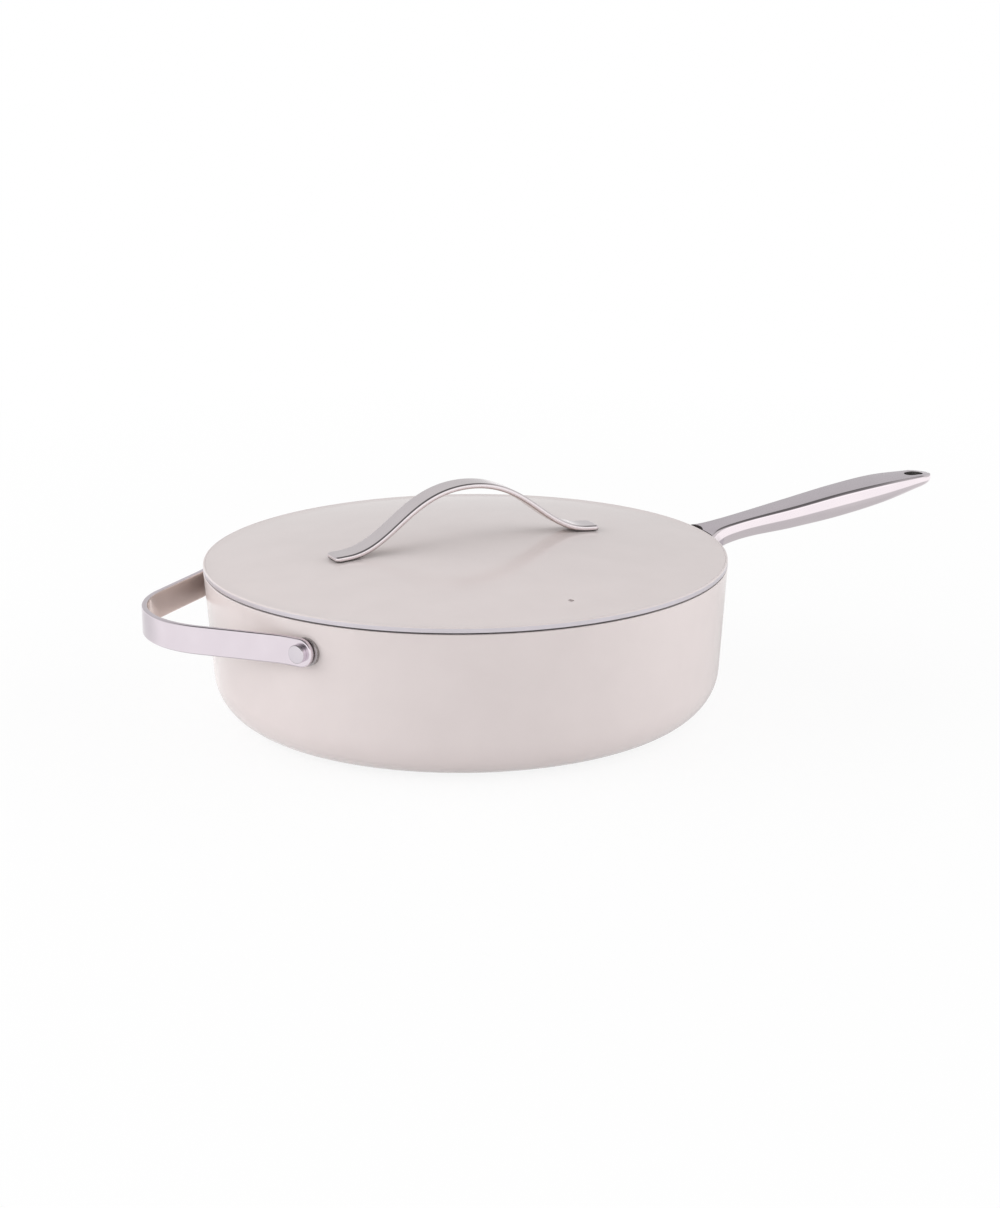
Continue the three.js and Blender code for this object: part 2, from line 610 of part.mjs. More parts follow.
function capNut() {
  const nutRadius = NUT_ACROSS / Math.sqrt(3);
  const hexagon = new THREE.CylinderGeometry(nutRadius, nutRadius, NUT_HEIGHT, 6)
    .rotateX(Math.PI / 2)
    .translate(0, 0, nutTop - NUT_HEIGHT / 2);
  const capRadius = NUT_ACROSS / 2 - CLEARANCE;
  const profile = new THREE.Path();
  profile.moveTo(0, nutBottom - NUT_CAP);
  profile.quadraticCurveTo(capRadius, nutBottom - NUT_CAP, capRadius, nutBottom);
  profile.lineTo(capRadius, nutBottom + NUT_HEIGHT / 2);
  profile.lineTo(0, nutBottom + NUT_HEIGHT / 2);
  const bore = toSolid(rod(STUD_RADIUS + CLEARANCE, nutBottom, 0, upright));
  return toGeometry(toSolid(hexagon).add(toSolid(revolve(profile, SMALL_STEPS))).subtract(bore));
}

// Pan: the body with everything riveted to it
const SIDES = [['front', -1], ['back', 1]];
const pan = new THREE.Group();
let body = toSolid(revolve(bodyProfile(), TURN_STEPS));
let helper = toSolid(helperBand());
let handle = handleGrip().add(handleFlange()).subtract(bodySpace).subtract(hangingSlot());
for (const [name, side] of SIDES) {
  const helperEnd = helperPlacement(side);
  const helperHole = rivetHole(helperEnd, helperSeat);
  const flangeEnd = flangePlacement(side);
  const flangeHole = rivetHole(flangeEnd, flangeSeat);
  body = body.subtract(helperHole).subtract(flangeHole);
  helper = helper.subtract(helperHole);
  handle = handle.subtract(flangeHole).subtract(rivetRoom(flangeEnd, flangeSeat));
  pan.add(piece(`helper_pad_${name}`, toGeometry(helperPad(helperEnd)), steel()));
  pan.add(piece(`helper_rivet_${name}`, rivet(helperEnd, helperSeat), steel()));
  pan.add(piece(`handle_rivet_${name}`, rivet(flangeEnd, flangeSeat), steel()));
}
pan.add(piece('pan_body', toGeometry(body), coat()));
pan.add(piece('base_plate', basePlate(), brushed()));
pan.add(piece('helper_handle', toGeometry(helper), steel()));
pan.add(piece('long_handle', toGeometry(handle), steel()));

// Lid: the sheet in its band, and the handle on its studs
const lid = new THREE.Group();
lid.position.z = LID_SEAT;
lid.rotation.z = LID_TURN;
lid.add(piece('lid_plate', lidPlate(), coat()));
lid.add(piece('lid_rim', lidBand(), steel()));
lid.add(piece('lid_handle', lidHandle(), brushed()));
for (const [name, side] of [['left', -1], ['right', 1]]) {
  const fixing = new THREE.Group();
  fixing.position.set(side * STUD_AT, 0, domeHeight(STUD_AT));
  fixing.rotation.y = side * STUD_TILT;
  fixing.add(piece(`lid_stud_${name}`, rod(STUD_RADIUS, nutBottom + CLEARANCE, 0, upright), steel()));
  fixing.add(piece(`lid_washer_${name}`, washer(), steel()));
  fixing.add(piece(`lid_nut_${name}`, capNut(), steel()));
  lid.add(fixing);
}
pan.add(lid);

export default pan;
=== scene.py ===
from itertools import pairwise
from math import asin, acos, atan, atan2, ceil, cos, pi, radians, sin, sqrt, tan

import bmesh
import bpy
from mathutils import Matrix, Vector


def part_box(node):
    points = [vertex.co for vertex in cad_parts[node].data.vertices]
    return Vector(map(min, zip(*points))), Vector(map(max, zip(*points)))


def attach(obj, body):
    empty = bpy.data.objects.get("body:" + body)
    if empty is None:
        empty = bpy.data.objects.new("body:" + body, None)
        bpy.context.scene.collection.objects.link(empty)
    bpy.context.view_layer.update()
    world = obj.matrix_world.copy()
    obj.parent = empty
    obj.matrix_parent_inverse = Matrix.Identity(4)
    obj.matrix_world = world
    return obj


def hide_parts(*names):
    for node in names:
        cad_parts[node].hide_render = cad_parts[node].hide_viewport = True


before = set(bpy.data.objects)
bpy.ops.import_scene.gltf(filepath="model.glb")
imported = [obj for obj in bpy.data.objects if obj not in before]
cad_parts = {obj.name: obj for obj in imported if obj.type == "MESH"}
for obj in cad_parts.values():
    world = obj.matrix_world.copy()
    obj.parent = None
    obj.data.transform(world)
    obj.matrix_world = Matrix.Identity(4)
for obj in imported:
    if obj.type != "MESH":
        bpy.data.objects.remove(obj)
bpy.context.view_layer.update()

# Deep frying pan with a lift-off lid. Sizes are in millimetres, and meshes are made in metres.
MM = 0.001


def node_box(node):
    low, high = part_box(node)
    return low / MM, high / MM


# Fits
CLEARANCE = 0.3  # between pieces that touch
LID_PASS = 0.6  # between the lid edge and the root of the long handle
SKIRT_PLAY = 0.7  # between the lower edge of the lid skirt and the wall

# Fineness
TURN_STEPS = 256  # round the body and the lid
SMALL_STEPS = 64  # round rivets, washers and nuts
ARC_STEP = radians(6)  # along a rounded corner
CORNER_STEPS = 12  # round each corner of a plate
EDGE_STEPS = 4  # round a quarter of a plate's edge
SLICE = 1.2  # between the cross cuts of a plate that is bent
ROUTE_STEPS = 60  # along each curve of a strap's route
LOFT_STEP = 1.0  # between two sections of the long handle
LOFT_ROUND_STEPS = 4  # round each corner of a section
TIP_STEPS = 16  # round the tip of the long handle and the cap of a nut
SUPPORT = 0.25  # flat margin inside a rounded edge, which keeps its shading crisp
WELD = 1e-4  # points closer than this are one
SHARP = radians(32)  # creases steeper than this stay sharp
TIP_TURN = radians(89)  # round to just before the end of the tip, which stays a small face

# Body
RIM_RADIUS = 140
RIM_HEIGHT = node_box("pan_body")[1].z
RIM_ROUND = 0.5
WALL = 3.2
WALL_DRAFT = radians(4.1)  # the wall leans out towards the rim
FLOOR = 4.5
CORNER_RADIUS = 25

# Base plate, let into the underside
BASE_RADIUS = node_box("base_plate")[1].x
BASE_THICKNESS = node_box("base_plate")[1].z
BASE_STAND = node_box("pan_body")[0].z
BASE_EDGE = 0.3

# Rivets, with a button head outside and a domed one inside the body
RIVET_GAP = 0.05  # under the head
RIVET_HEAD_RADIUS = 4.8
RIVET_HEAD_HEIGHT = 2.5
RIVET_HEAD_ROUND = 0.6
RIVET_SEAT_ROUND = 0.15  # round the lower edge of the head
RIVET_CROWN = 0.3  # height of the crown on the head
RIVET_CROWN_ROUND = 6
RIVET_CROWN_AT = 0.5  # share of the head's radius where the crown bends,
RIVET_CROWN_RISE = 0.7  # and its height there as a share of the crown
RIVET_INNER_RADIUS = 6
RIVET_INNER_HEIGHT = 1.4
RIVET_INNER_ROUND = 0.95  # as a share of that height
RIVET_SHANK_RADIUS = 2.4

# Helper handle, a strap bent round in plan with a full-round end on each rivet
HELPER_LOW, HELPER_HIGH = node_box("helper_handle")
HELPER_WIDTH = HELPER_HIGH.z - HELPER_LOW.z
HELPER_HEIGHT = (HELPER_HIGH.z + HELPER_LOW.z) / 2
HELPER_REACH = -HELPER_LOW.x  # from the middle of the pan to the outer face
HELPER_GAUGE = 3
HELPER_EDGE = 0.8
HELPER_BOW_RADIUS = 52
HELPER_RIVET_ANGLE = radians(33.5)  # from the -X axis
HELPER_FLAT = 12  # straight stretch before the rivet
HELPER_BEND = 5  # length of the bend on each side of its corner
SPACER_THICKNESS = 1.5
SPACER_SHIFT = 1.3  # past the strap end
SPACER_EDGE = 0.25

# Long handle: a flange on the wall and a grip through sections
FLANGE_WIDTH = 46
FLANGE_HEIGHT = 27
FLANGE_THICKNESS = 3
FLANGE_CORNER = 9
FLANGE_EDGE = 0.7
FLANGE_DROP = 1.2  # from the rim down to its top edge
FLANGE_RIVET_SPREAD = 29
FLANGE_RIVET_RAISE = 8.2  # from its bottom edge up to the rivets
GRIP_LENGTH = 143.6  # from the rim to the tip
GRIP_NECK = 18
GRIP_TAPER = 32
GRIP_TIP_ROUND = 9
SLOT_LENGTH = 11
SLOT_WIDTH = 8.6
SLOT_WALL = 4.5  # metal left between the slot and the tip
ROOT_BLASTED = 10  # the root is blasted to this far from the wall,
ROOT_DROP = 1  # and from this far below the rim
HOLLOW_RADIUS = 14  # of the hollow in the far half of the root, at the lid
HOLLOW_DEPTH = 2.4  # from the lid edge
HOLLOW_ASIDE = 6.5  # from the middle of the root

# Sections of the grip: distance from the rim, width, top above the rim, depth below the top
GRIP_WIDEST = GRIP_LENGTH - GRIP_TAPER


def along_grip(share):
    return GRIP_NECK + share * (GRIP_WIDEST - GRIP_NECK)


GRIP_SECTIONS = (
    (-5, 36, 2.6, 17),
    (2.5, 26, 3.9, 17.4),
    (5, 21.6, 4.7, 16),
    (GRIP_NECK / 2, 18.2, 5.7, 13.8),
    (GRIP_NECK, 16.2, 7.4, 12.3),
    (along_grip(0.4), 19.8, 13.7, 14.2),
    (along_grip(0.7), 21.4, 18.6, 15.5),
    (GRIP_WIDEST, 22.2, 22.1, 13.4),
    (GRIP_LENGTH - GRIP_TIP_ROUND, 17, 23.1, 8),
)
GRIP_TIP = (22.3, 4.4)  # top and depth at the very end

# Right half of every section from the keel up: shares of half the width and of the depth, and the
# rounding of that corner as a share of half the width, or of GRIP_STOUT depths where that is less
GRIP_STOUT = 0.75
GRIP_OUTLINE = (
    (0.28, -1, 0.76),
    (0.62, -0.9, 0.66),
    (0.86, -0.71, 0.85),
    (1.02, -0.44, 0.19),
    (1, -0.1, 0.19),
    (0.92, 0, 0.15),
)
# The top edge turns crisp between these distances from the rim, down to a share of its rounding
CRISP_START = 72
CRISP_END = 112
CRISP_SHARE = 0.15

# Lid, seated on the rim by its steel band
LID_EDGE = 3.4  # height of the band
LID_EDGE_ROUND = 0.8
LID_GROOVE = 0.6  # height of the groove that parts the band from the rim
LID_GROOVE_DEPTH = 1.2
LID_GROOVE_ROUND = 0.1
LID_LIP = 1.2  # width of the band round the sheet
LID_LIP_ROUND = 0.1
LID_RADIUS = RIM_RADIUS  # flush with the rim
LID_SEAT = node_box("lid_rim")[1].z - LID_EDGE
LID_SHEET = 1.6
LID_SHEET_ROUND = 0.1
LID_JOINT = 0.05  # between the sheet and the band
LID_LAND = 4  # flat border of the sheet
LID_LAND_ROUND = 45  # where the border turns into the dome
LID_DOME = 8.4
LID_DOME_SHARE = 0.96  # of the dome's radius, up to its turn into the border
LID_TURN = radians(3.5)
DOME_STEPS = 40
SKIRT = 1
SKIRT_DEPTH = LID_SEAT - node_box("lid_rim")[0].z
SKIRT_ROUND = 0.3
VENT_RADIUS = 1.6
VENT_INSET = 20.75  # from the flat border of the sheet
VENT_ANGLE = radians(-87.2)  # from the lid handle

# Lid handle, an arched strap
STRAP_SPAN = 154.4
STRAP_WIDTH = 14
STRAP_GAUGE = 3
STRAP_EDGE = 1.1
STRAP_END_ROUND = 2.2
STRAP_GAP = 29  # finger room between the crown of the lid and the arch
STRAP_FOOT = 7  # straight stretch at each end
STRAP_SWEEP = 26  # pull of the foot on the curve
STRAP_SHOULDER = 34.5  # pull of the arch on the curve

# Washers and cap nuts under the lid handle
STUD_INSET = 6.5  # from the end of the strap
WASHER_RADIUS = 6
WASHER_BORE = 2.8
WASHER_THICKNESS = 0.9
WASHER_ROUND = 0.25
NUT_ACROSS = 8
NUT_HEIGHT = 4
NUT_CAP = 2.4
NUT_CHAMFER = 0.5

# Sizes that follow from the ones above
WALL_ACROSS = WALL / cos(WALL_DRAFT)  # the wall, measured level
FLOOR_TOP = BASE_STAND + FLOOR
PLATE_RADIUS = LID_RADIUS - LID_LIP - LID_JOINT
LEDGE = LID_EDGE - LID_SHEET
DOME_RADIUS = PLATE_RADIUS - LID_LAND
LID_CROWN = LID_EDGE + LID_DOME
SPHERE = (DOME_RADIUS**2 + LID_DOME**2) / (2 * LID_DOME)
STUD_AT = STRAP_SPAN / 2 - STUD_INSET
STUD_TILT = asin(STUD_AT / SPHERE)
FLANGE_BOTTOM = RIM_HEIGHT - FLANGE_DROP - FLANGE_HEIGHT
FLANGE_SEAT = FLANGE_THICKNESS + CLEARANCE
HELPER_STAND = SPACER_THICKNESS + 2 * CLEARANCE  # from the wall to the strap
HELPER_SEAT = HELPER_STAND + HELPER_GAUGE
LID_PLACE = Matrix.Translation((0, 0, LID_SEAT)) @ Matrix.Rotation(LID_TURN, 4, "Z")


# Outer radius of the body's wall at a height
def wall_radius(z):
    return RIM_RADIUS - (RIM_HEIGHT - z) * tan(WALL_DRAFT)


# Height of the lid's dome above the underside of its band
def dome_height(radius):
    return LID_CROWN - SPHERE + sqrt(SPHERE**2 - radius**2)


# Meshes
def new_piece(name, bm):
    """A smooth-shaded object from a bmesh in millimetres, with its faces pointing out."""
    bmesh.ops.remove_doubles(bm, verts=bm.verts, dist=WELD)
    bmesh.ops.recalc_face_normals(bm, faces=bm.faces)
    bmesh.ops.scale(bm, vec=(MM, MM, MM), verts=bm.verts)
    mesh = bpy.data.meshes.new(name)
    bm.to_mesh(mesh)
    bm.free()
    mesh.shade_smooth()
    mesh.set_sharp_from_angle(angle=SHARP)
    piece = bpy.data.objects.new(name, mesh)
    bpy.context.scene.collection.objects.link(piece)
    return piece


def add_faces(bm, rows, closed=False):
    """Faces between rows of equally many vertices that each go round once."""
    ends = list(pairwise(rows))
    if closed:
        ends.append((rows[-1], rows[0]))
    for lower, upper in ends:
        for k in range(len(lower)):
            corners = (lower[k - 1], lower[k], upper[k], upper[k - 1])
            corners = list(dict.fromkeys(corners))
            if len(corners) > 2:
                bm.faces.new(corners)


def turned(profile, steps=TURN_STEPS, closed=False):
    """A bmesh of a profile of radius and height, turned round the Z axis."""
    bm = bmesh.new()
    rows = []
    for radius, height in profile:
        if radius < WELD:
            rows.append([bm.verts.new((0, 0, height))] * steps)
            continue
        angles = [2 * pi * k / steps for k in range(steps)]
        rows.append([bm.verts.new((radius * cos(a), radius * sin(a), height)) for a in angles])
    add_faces(bm, rows, closed)
    return bm


def lofted(rings):
    """A bmesh of a closed surface through rings of points, with flat ends."""
    bm = bmesh.new()
    rows = [[bm.verts.new(point) for point in ring] for ring in rings]
    add_faces(bm, rows)
    bm.faces.new(rows[0])
    bm.faces.new(rows[-1])
    return bm


def rounded(corners, closed=False, steps=None):
    """An outline from corners of x, y and radius, with an arc in place of each rounded corner."""
    points = [Vector(corner[:2]) for corner in corners]
    outline = []
    for i, (point, corner) in enumerate(zip(points, corners)):
        radius = corner[2]
        if radius == 0 or (not closed and i in (0, len(points) - 1)):
            outline.append(point)
            continue
        back = (points[i - 1] - point).normalized()
        ahead = (points[(i + 1) % len(points)] - point).normalized()
        half = back.angle(ahead) / 2
        centre = point + (back + ahead).normalized() * radius / sin(half)
        start = point + back * radius / tan(half) - centre
        end = point + ahead * radius / tan(half) - centre
        turn = pi - 2 * half
        count = steps or ceil(turn / ARC_STEP)
        for step in range(count + 1):
            share = step / count
            spoke = start * sin((1 - share) * turn) + end * sin(share * turn)
            outline.append(centre + spoke / sin(turn))
    return outline


def plate(length, width, corner, gauge, edge):
    """A flat plate as a bmesh, along X, across Y and thick in Z, with rounded corners and edges."""
    profile = [(edge + SUPPORT, -gauge / 2)]
    for side in (-1, 1):
        for step in range(EDGE_STEPS + 1):
            angle = pi / 2 * (step / EDGE_STEPS + (side - 1) / 2)
            profile.append((edge * (1 - cos(angle)), side * (gauge / 2 - edge) + edge * sin(angle)))
    profile.append((edge + SUPPORT, gauge / 2))
    rings = []
    for inset, height in profile:
        ring = []
        for quarter, (x, y) in enumerate(((1, 1), (-1, 1), (-1, -1), (1, -1))):
            for step in range(CORNER_STEPS + 1):
                angle = (quarter + step / CORNER_STEPS) * pi / 2
                ring.append((
                    x * (length / 2 - corner) + (corner - inset) * cos(angle),
                    y * (width / 2 - corner) + (corner - inset) * sin(angle),
                    height,
                ))
        rings.append(ring)
    bm = lofted(rings)
    bmesh.ops.remove_doubles(bm, verts=bm.verts, dist=WELD)
    grain = bm.loops.layers.uv.new("grain")
    count = ceil(length / SLICE)
    for step in range(1, count):
        place = Vector((length * (step / count - 0.5), 0, 0))
        geometry = bm.verts[:] + bm.edges[:] + bm.faces[:]
        bmesh.ops.bisect_plane(bm, geom=geometry, dist=WELD, plane_co=place, plane_no=(1, 0, 0))
    for face in bm.faces:
        for loop in face.loops:
            loop[grain].uv = loop.vert.co.xy * MM
    return bm


class Route:
    """A line through close points of a plane, measured along its length from its middle."""

    def __init__(self, half):
        mirrored = [Vector((-point.x, point.y)) for point in reversed(half[1:])]
        self.points = mirrored + half
        self.marks = [0]
        for before, after in pairwise(self.points):
            self.marks.append(self.marks[-1] + (after - before).length)
        self.length = self.marks[-1]
        self.headings = []
        for i in range(len(self.points)):
            before = self.points[max(i - 1, 0)]
            after = self.points[min(i + 1, len(self.points) - 1)]
            self.headings.append((after - before).normalized())

    def at(self, distance):
        """Point and heading there, straight on past the ends."""
        mark = distance + self.length / 2
        if mark <= 0:
            return self.points[0] + self.headings[0] * mark, self.headings[0]
        if mark >= self.length:
            return self.points[-1] + self.headings[-1] * (mark - self.length), self.headings[-1]
        i = next(k for k, reached in enumerate(self.marks) if reached >= mark)
        share = (mark - self.marks[i - 1]) / (self.marks[i] - self.marks[i - 1])
        point = self.points[i - 1].lerp(self.points[i], share)
        return point, self.headings[i - 1].lerp(self.headings[i], share).normalized()


def bend(bm, route, placement):
    """A flat plate bent along a route of a placement's XY plane, lying across its Z axis."""
    for vertex in bm.verts:
        point, heading = route.at(vertex.co.x)
        offset = Vector((-heading.y, heading.x)) * vertex.co.z
        vertex.co = placement @ Vector((*(point + offset), vertex.co.y))
    return bm


def line_points(start, end):
    return [start.lerp(end, step / ROUTE_STEPS) for step in range(1, ROUTE_STEPS + 1)]


def bezier_points(*controls):
    points = []
    for step in range(1, ROUTE_STEPS + 1):
        level = list(controls)
        while len(level) > 1:
            level = [a.lerp(b, step / ROUTE_STEPS) for a, b in pairwise(level)]
        points.append(level[0])
    return points


def combine(piece, operation, *others):
    """Joins other objects to a piece or cuts them out of it, for good."""
    for other in others:
        modifier = piece.modifiers.new(operation, "BOOLEAN")
        modifier.operation = operation
        modifier.solver = "MANIFOLD"
        modifier.object = other
    evaluated = piece.evaluated_get(bpy.context.evaluated_depsgraph_get())
    mesh = bpy.data.meshes.new_from_object(evaluated)
    piece.modifiers.clear()
    bm = bmesh.new()
    bm.from_mesh(mesh)
    bmesh.ops.dissolve_degenerate(bm, dist=WELD * MM, edges=bm.edges)
    bm.to_mesh(mesh)
    bm.free()
    piece.data = mesh
    mesh.shade_smooth()
    mesh.set_sharp_from_angle(angle=SHARP)
    for other in others:
        bpy.data.objects.remove(other)
    return piece


def facing(point, direction):
    """A placement at a point, with its Z axis along a direction."""
    return Matrix.Translation(point) @ direction.to_track_quat("Z", "Y").to_matrix().to_4x4()


def placed(bm, placement):
    bm.transform(placement)
    return bm


# Body
def make_body():
    under = wall_radius(BASE_STAND)
    inside = wall_radius(FLOOR_TOP) - WALL_ACROSS
    recess = BASE_RADIUS + CLEARANCE
    return new_piece("body_shell", turned(rounded((
        (0, BASE_THICKNESS, 0),
        (recess, BASE_THICKNESS, 0),
        (recess, BASE_STAND, BASE_EDGE),
        (under, BASE_STAND, CORNER_RADIUS),
        (RIM_RADIUS, RIM_HEIGHT, RIM_ROUND),
        (RIM_RADIUS - WALL_ACROSS, RIM_HEIGHT, RIM_ROUND),
        (inside, FLOOR_TOP, CORNER_RADIUS - WALL),
        (0, FLOOR_TOP, 0),
    ))))


def make_base():
    return new_piece("base_disc", turned(rounded((
        (0, 0, 0),
        (BASE_RADIUS, 0, BASE_EDGE),
        (BASE_RADIUS, BASE_THICKNESS, BASE_EDGE),
        (0, BASE_THICKNESS, 0),
    ))))


# A rivet through the wall, with its outer head on a seat that far outside the wall
def make_rivet(name, placement, seat):
    bottom = seat + RIVET_GAP
    top = seat + CLEARANCE + RIVET_HEAD_HEIGHT
    inner = -WALL_ACROSS - RIVET_INNER_HEIGHT
    crown_radius = RIVET_HEAD_RADIUS * RIVET_CROWN_AT
    profile = rounded((
        (0, inner, 0),
        (RIVET_INNER_RADIUS, inner, RIVET_INNER_HEIGHT * RIVET_INNER_ROUND),
        (RIVET_INNER_RADIUS, -WALL_ACROSS / 2, 0),
        (RIVET_SHANK_RADIUS, -WALL_ACROSS / 2, 0),
        (RIVET_SHANK_RADIUS, bottom, 0),
        (RIVET_HEAD_RADIUS, bottom, RIVET_SEAT_ROUND),
        (RIVET_HEAD_RADIUS, top, RIVET_HEAD_ROUND),
        (crown_radius, top + RIVET_CROWN * RIVET_CROWN_RISE, RIVET_CROWN_ROUND),
        (0, top + RIVET_CROWN, 0),
    ))
    return new_piece(name, placed(turned(profile, SMALL_STEPS), placement))


# Helper handle
def helper_place(side):
    outward = Vector((-cos(HELPER_RIVET_ANGLE), side * sin(HELPER_RIVET_ANGLE), 0))
    return facing(outward * wall_radius(HELPER_HEIGHT) + Vector((0, 0, HELPER_HEIGHT)), outward)


def helper_route():
    """The strap in plan, where x runs across the pan and y away from its middle."""
    outward = Vector((sin(HELPER_RIVET_ANGLE), cos(HELPER_RIVET_ANGLE)))
    rivet = outward * (wall_radius(HELPER_HEIGHT) + HELPER_STAND + HELPER_GAUGE / 2)
    along = Vector((outward.y, -outward.x))
    corner = rivet - along * HELPER_FLAT
    bow = HELPER_BOW_RADIUS - HELPER_GAUGE / 2
    centre = Vector((0, HELPER_REACH - HELPER_BOW_RADIUS))
    to_corner = corner - centre
    leave = acos(bow / to_corner.length) + atan2(to_corner.y, to_corner.x)
    arm = Vector((sin(leave), -cos(leave)))
    half = []
    for step in range(ROUTE_STEPS + 1):
        angle = pi / 2 + (leave - pi / 2) * step / ROUTE_STEPS
        half.append(centre + Vector((cos(angle), sin(angle))) * bow)
    bend_start = corner - arm * HELPER_BEND
    bend_end = corner + along * HELPER_BEND
    half += line_points(half[-1], bend_start)
    half += bezier_points(bend_start, corner, bend_end)
    half += line_points(bend_end, rivet)
    return Route(half)


def make_helper():
    route = helper_route()
    length = route.length + HELPER_WIDTH
    band = plate(length, HELPER_WIDTH, HELPER_WIDTH / 2, HELPER_GAUGE, HELPER_EDGE)
    placement = Matrix.Translation((0, 0, HELPER_HEIGHT)) @ Matrix.Rotation(pi / 2, 4, "Z")
    return new_piece("helper_strap", bend(band, route, placement))


def make_spacer(name, placement):
    radius = HELPER_WIDTH / 2
    top = HELPER_STAND - CLEARANCE
    disc = turned(rounded((
        (0, -WALL_ACROSS / 2, 0),
        (radius, -WALL_ACROSS / 2, 0),
        (radius, top, SPACER_EDGE),
        (0, top, 0),
    )), SMALL_STEPS)
    return new_piece(name, placed(disc, placement))


# Long handle
def grip_form(out):
    """Width, top and depth of the grip at a distance from the rim, smooth between the sections."""
    count = len(GRIP_SECTIONS)
    stops = [section[0] for section in GRIP_SECTIONS]
    i = min(max(sum(stop <= out for stop in stops) - 1, 0), count - 2)

    def value(k):
        return Vector(GRIP_SECTIONS[k][1:])

    def slope(k):
        return (value(k + 1) - value(k)) / (stops[k + 1] - stops[k])

    before = slope(max(i - 1, 0))
    after = slope(min(i + 1, count - 2))
    span = stops[i + 1] - stops[i]
    share = (out - stops[i]) / span
    start_pull = (before + slope(i)) / 2 * span
    end_pull = (slope(i) + after) / 2 * span
    return (
        value(i) * (1 + 2 * share) * (1 - share) ** 2
        + start_pull * share * (1 - share) ** 2
        + value(i + 1) * share**2 * (3 - 2 * share)
        + end_pull * share**2 * (share - 1)
    )


def grip_ring(out, width, top, depth):
    half = width / 2
    size = min(half, GRIP_STOUT * depth)
    right = [(x * half, y * depth, share * size) for x, y, share in GRIP_OUTLINE]
    crisp = min(max((out - CRISP_START) / (CRISP_END - CRISP_START), 0), 1)
    x, y, radius = right.pop()
    right.append((x, y, radius * (1 - crisp + crisp * CRISP_SHARE)))
    left = [(-x, y, radius) for x, y, radius in reversed(right)]
    outline = rounded(right + left, closed=True, steps=LOFT_ROUND_STEPS)
    return [(RIM_RADIUS + out, x, RIM_HEIGHT + top + y) for x, y in outline]


def grip_loft():
    start = GRIP_SECTIONS[0][0]
    end = GRIP_SECTIONS[-1][0]
    count = ceil((end - start) / LOFT_STEP)
    stations = [start + (end - start) * step / count for step in range(count)]
    rings = [grip_ring(out, *grip_form(out)) for out in stations]
    width, top, depth = GRIP_SECTIONS[-1][1:]
    for step in range(TIP_STEPS + 1):
        turn = TIP_TURN * step / TIP_STEPS
        share = sin(turn)
        rings.append(grip_ring(
            end + GRIP_TIP_ROUND * share,
            width * cos(turn),
            top + (GRIP_TIP[0] - top) * share,
            depth + (GRIP_TIP[1] - depth) * share,
        ))
    return lofted(rings)


def flange_plate():
    """The flange follows the wall of the body."""
    bm = plate(FLANGE_WIDTH, FLANGE_HEIGHT, FLANGE_CORNER, FLANGE_THICKNESS, FLANGE_EDGE)
    for vertex in bm.verts:
        across, up, out = vertex.co
        height = FLANGE_BOTTOM + FLANGE_HEIGHT / 2 + up
        radius = wall_radius(height) + CLEARANCE + FLANGE_THICKNESS / 2 + out
        vertex.co = (sqrt(radius**2 - across**2), across, height)
    return bm


def flange_place(side):
    height = FLANGE_BOTTOM + FLANGE_RIVET_RAISE
    turn = asin(side * FLANGE_RIVET_SPREAD / 2 / wall_radius(height))
    outward = Vector((cos(turn), sin(turn), 0))
    point = outward * wall_radius(height) + Vector((0, 0, height))
    return facing(point, outward * cos(WALL_DRAFT) - Vector((0, 0, sin(WALL_DRAFT))))


def body_space():
    """Space of the body and of the lid's way up, with clearance."""
    shoulder = RIM_HEIGHT - CLEARANCE
    top = RIM_HEIGHT + LID_CROWN
    return turned((
        (0, 0),
        (wall_radius(0) + CLEARANCE, 0),
        (wall_radius(shoulder) + CLEARANCE, shoulder),
        (LID_RADIUS + LID_PASS, shoulder),
        (LID_RADIUS + LID_PASS, top),
        (0, top),
    ))


def slot_space():
    """The slot by which the pan hangs."""
    end = RIM_RADIUS + GRIP_LENGTH - SLOT_WALL
    bm = plate(SLOT_LENGTH, SLOT_WIDTH, SLOT_WIDTH / 2, RIM_HEIGHT, SUPPORT)
    return placed(bm, Matrix.Translation((end - SLOT_LENGTH / 2, 0, RIM_HEIGHT)))


def hollow_space():
    """The hollow at the root, which shows as a dark crescent beside the lid."""
    outward = Vector((sqrt(LID_RADIUS**2 - HOLLOW_ASIDE**2), HOLLOW_ASIDE, 0)).normalized()
    centre = outward * (LID_RADIUS + HOLLOW_DEPTH - HOLLOW_RADIUS)
    profile = ((0, 0), (HOLLOW_RADIUS, 0), (HOLLOW_RADIUS, LID_CROWN), (0, LID_CROWN))
    placement = Matrix.Translation(centre + Vector((0, 0, RIM_HEIGHT)))
    return placed(turned(profile), placement)


def rivet_room(placement):
    radius = RIVET_HEAD_RADIUS + CLEARANCE
    top = FLANGE_SEAT + RIVET_HEAD_HEIGHT + RIVET_CROWN + 2 * CLEARANCE
    profile = ((0, FLANGE_SEAT), (radius, FLANGE_SEAT), (radius, top), (0, top))
    return placed(turned(profile, SMALL_STEPS), placement)


def make_grip():
    grip = new_piece("grip", grip_loft())
    combine(grip, "UNION", new_piece("flange", flange_plate()))
    rooms = [rivet_room(flange_place(side)) for side in (-1, 1)]
    spaces = [body_space(), slot_space(), hollow_space(), *rooms]
    return combine(grip, "DIFFERENCE", *[new_piece("space", space) for space in spaces])


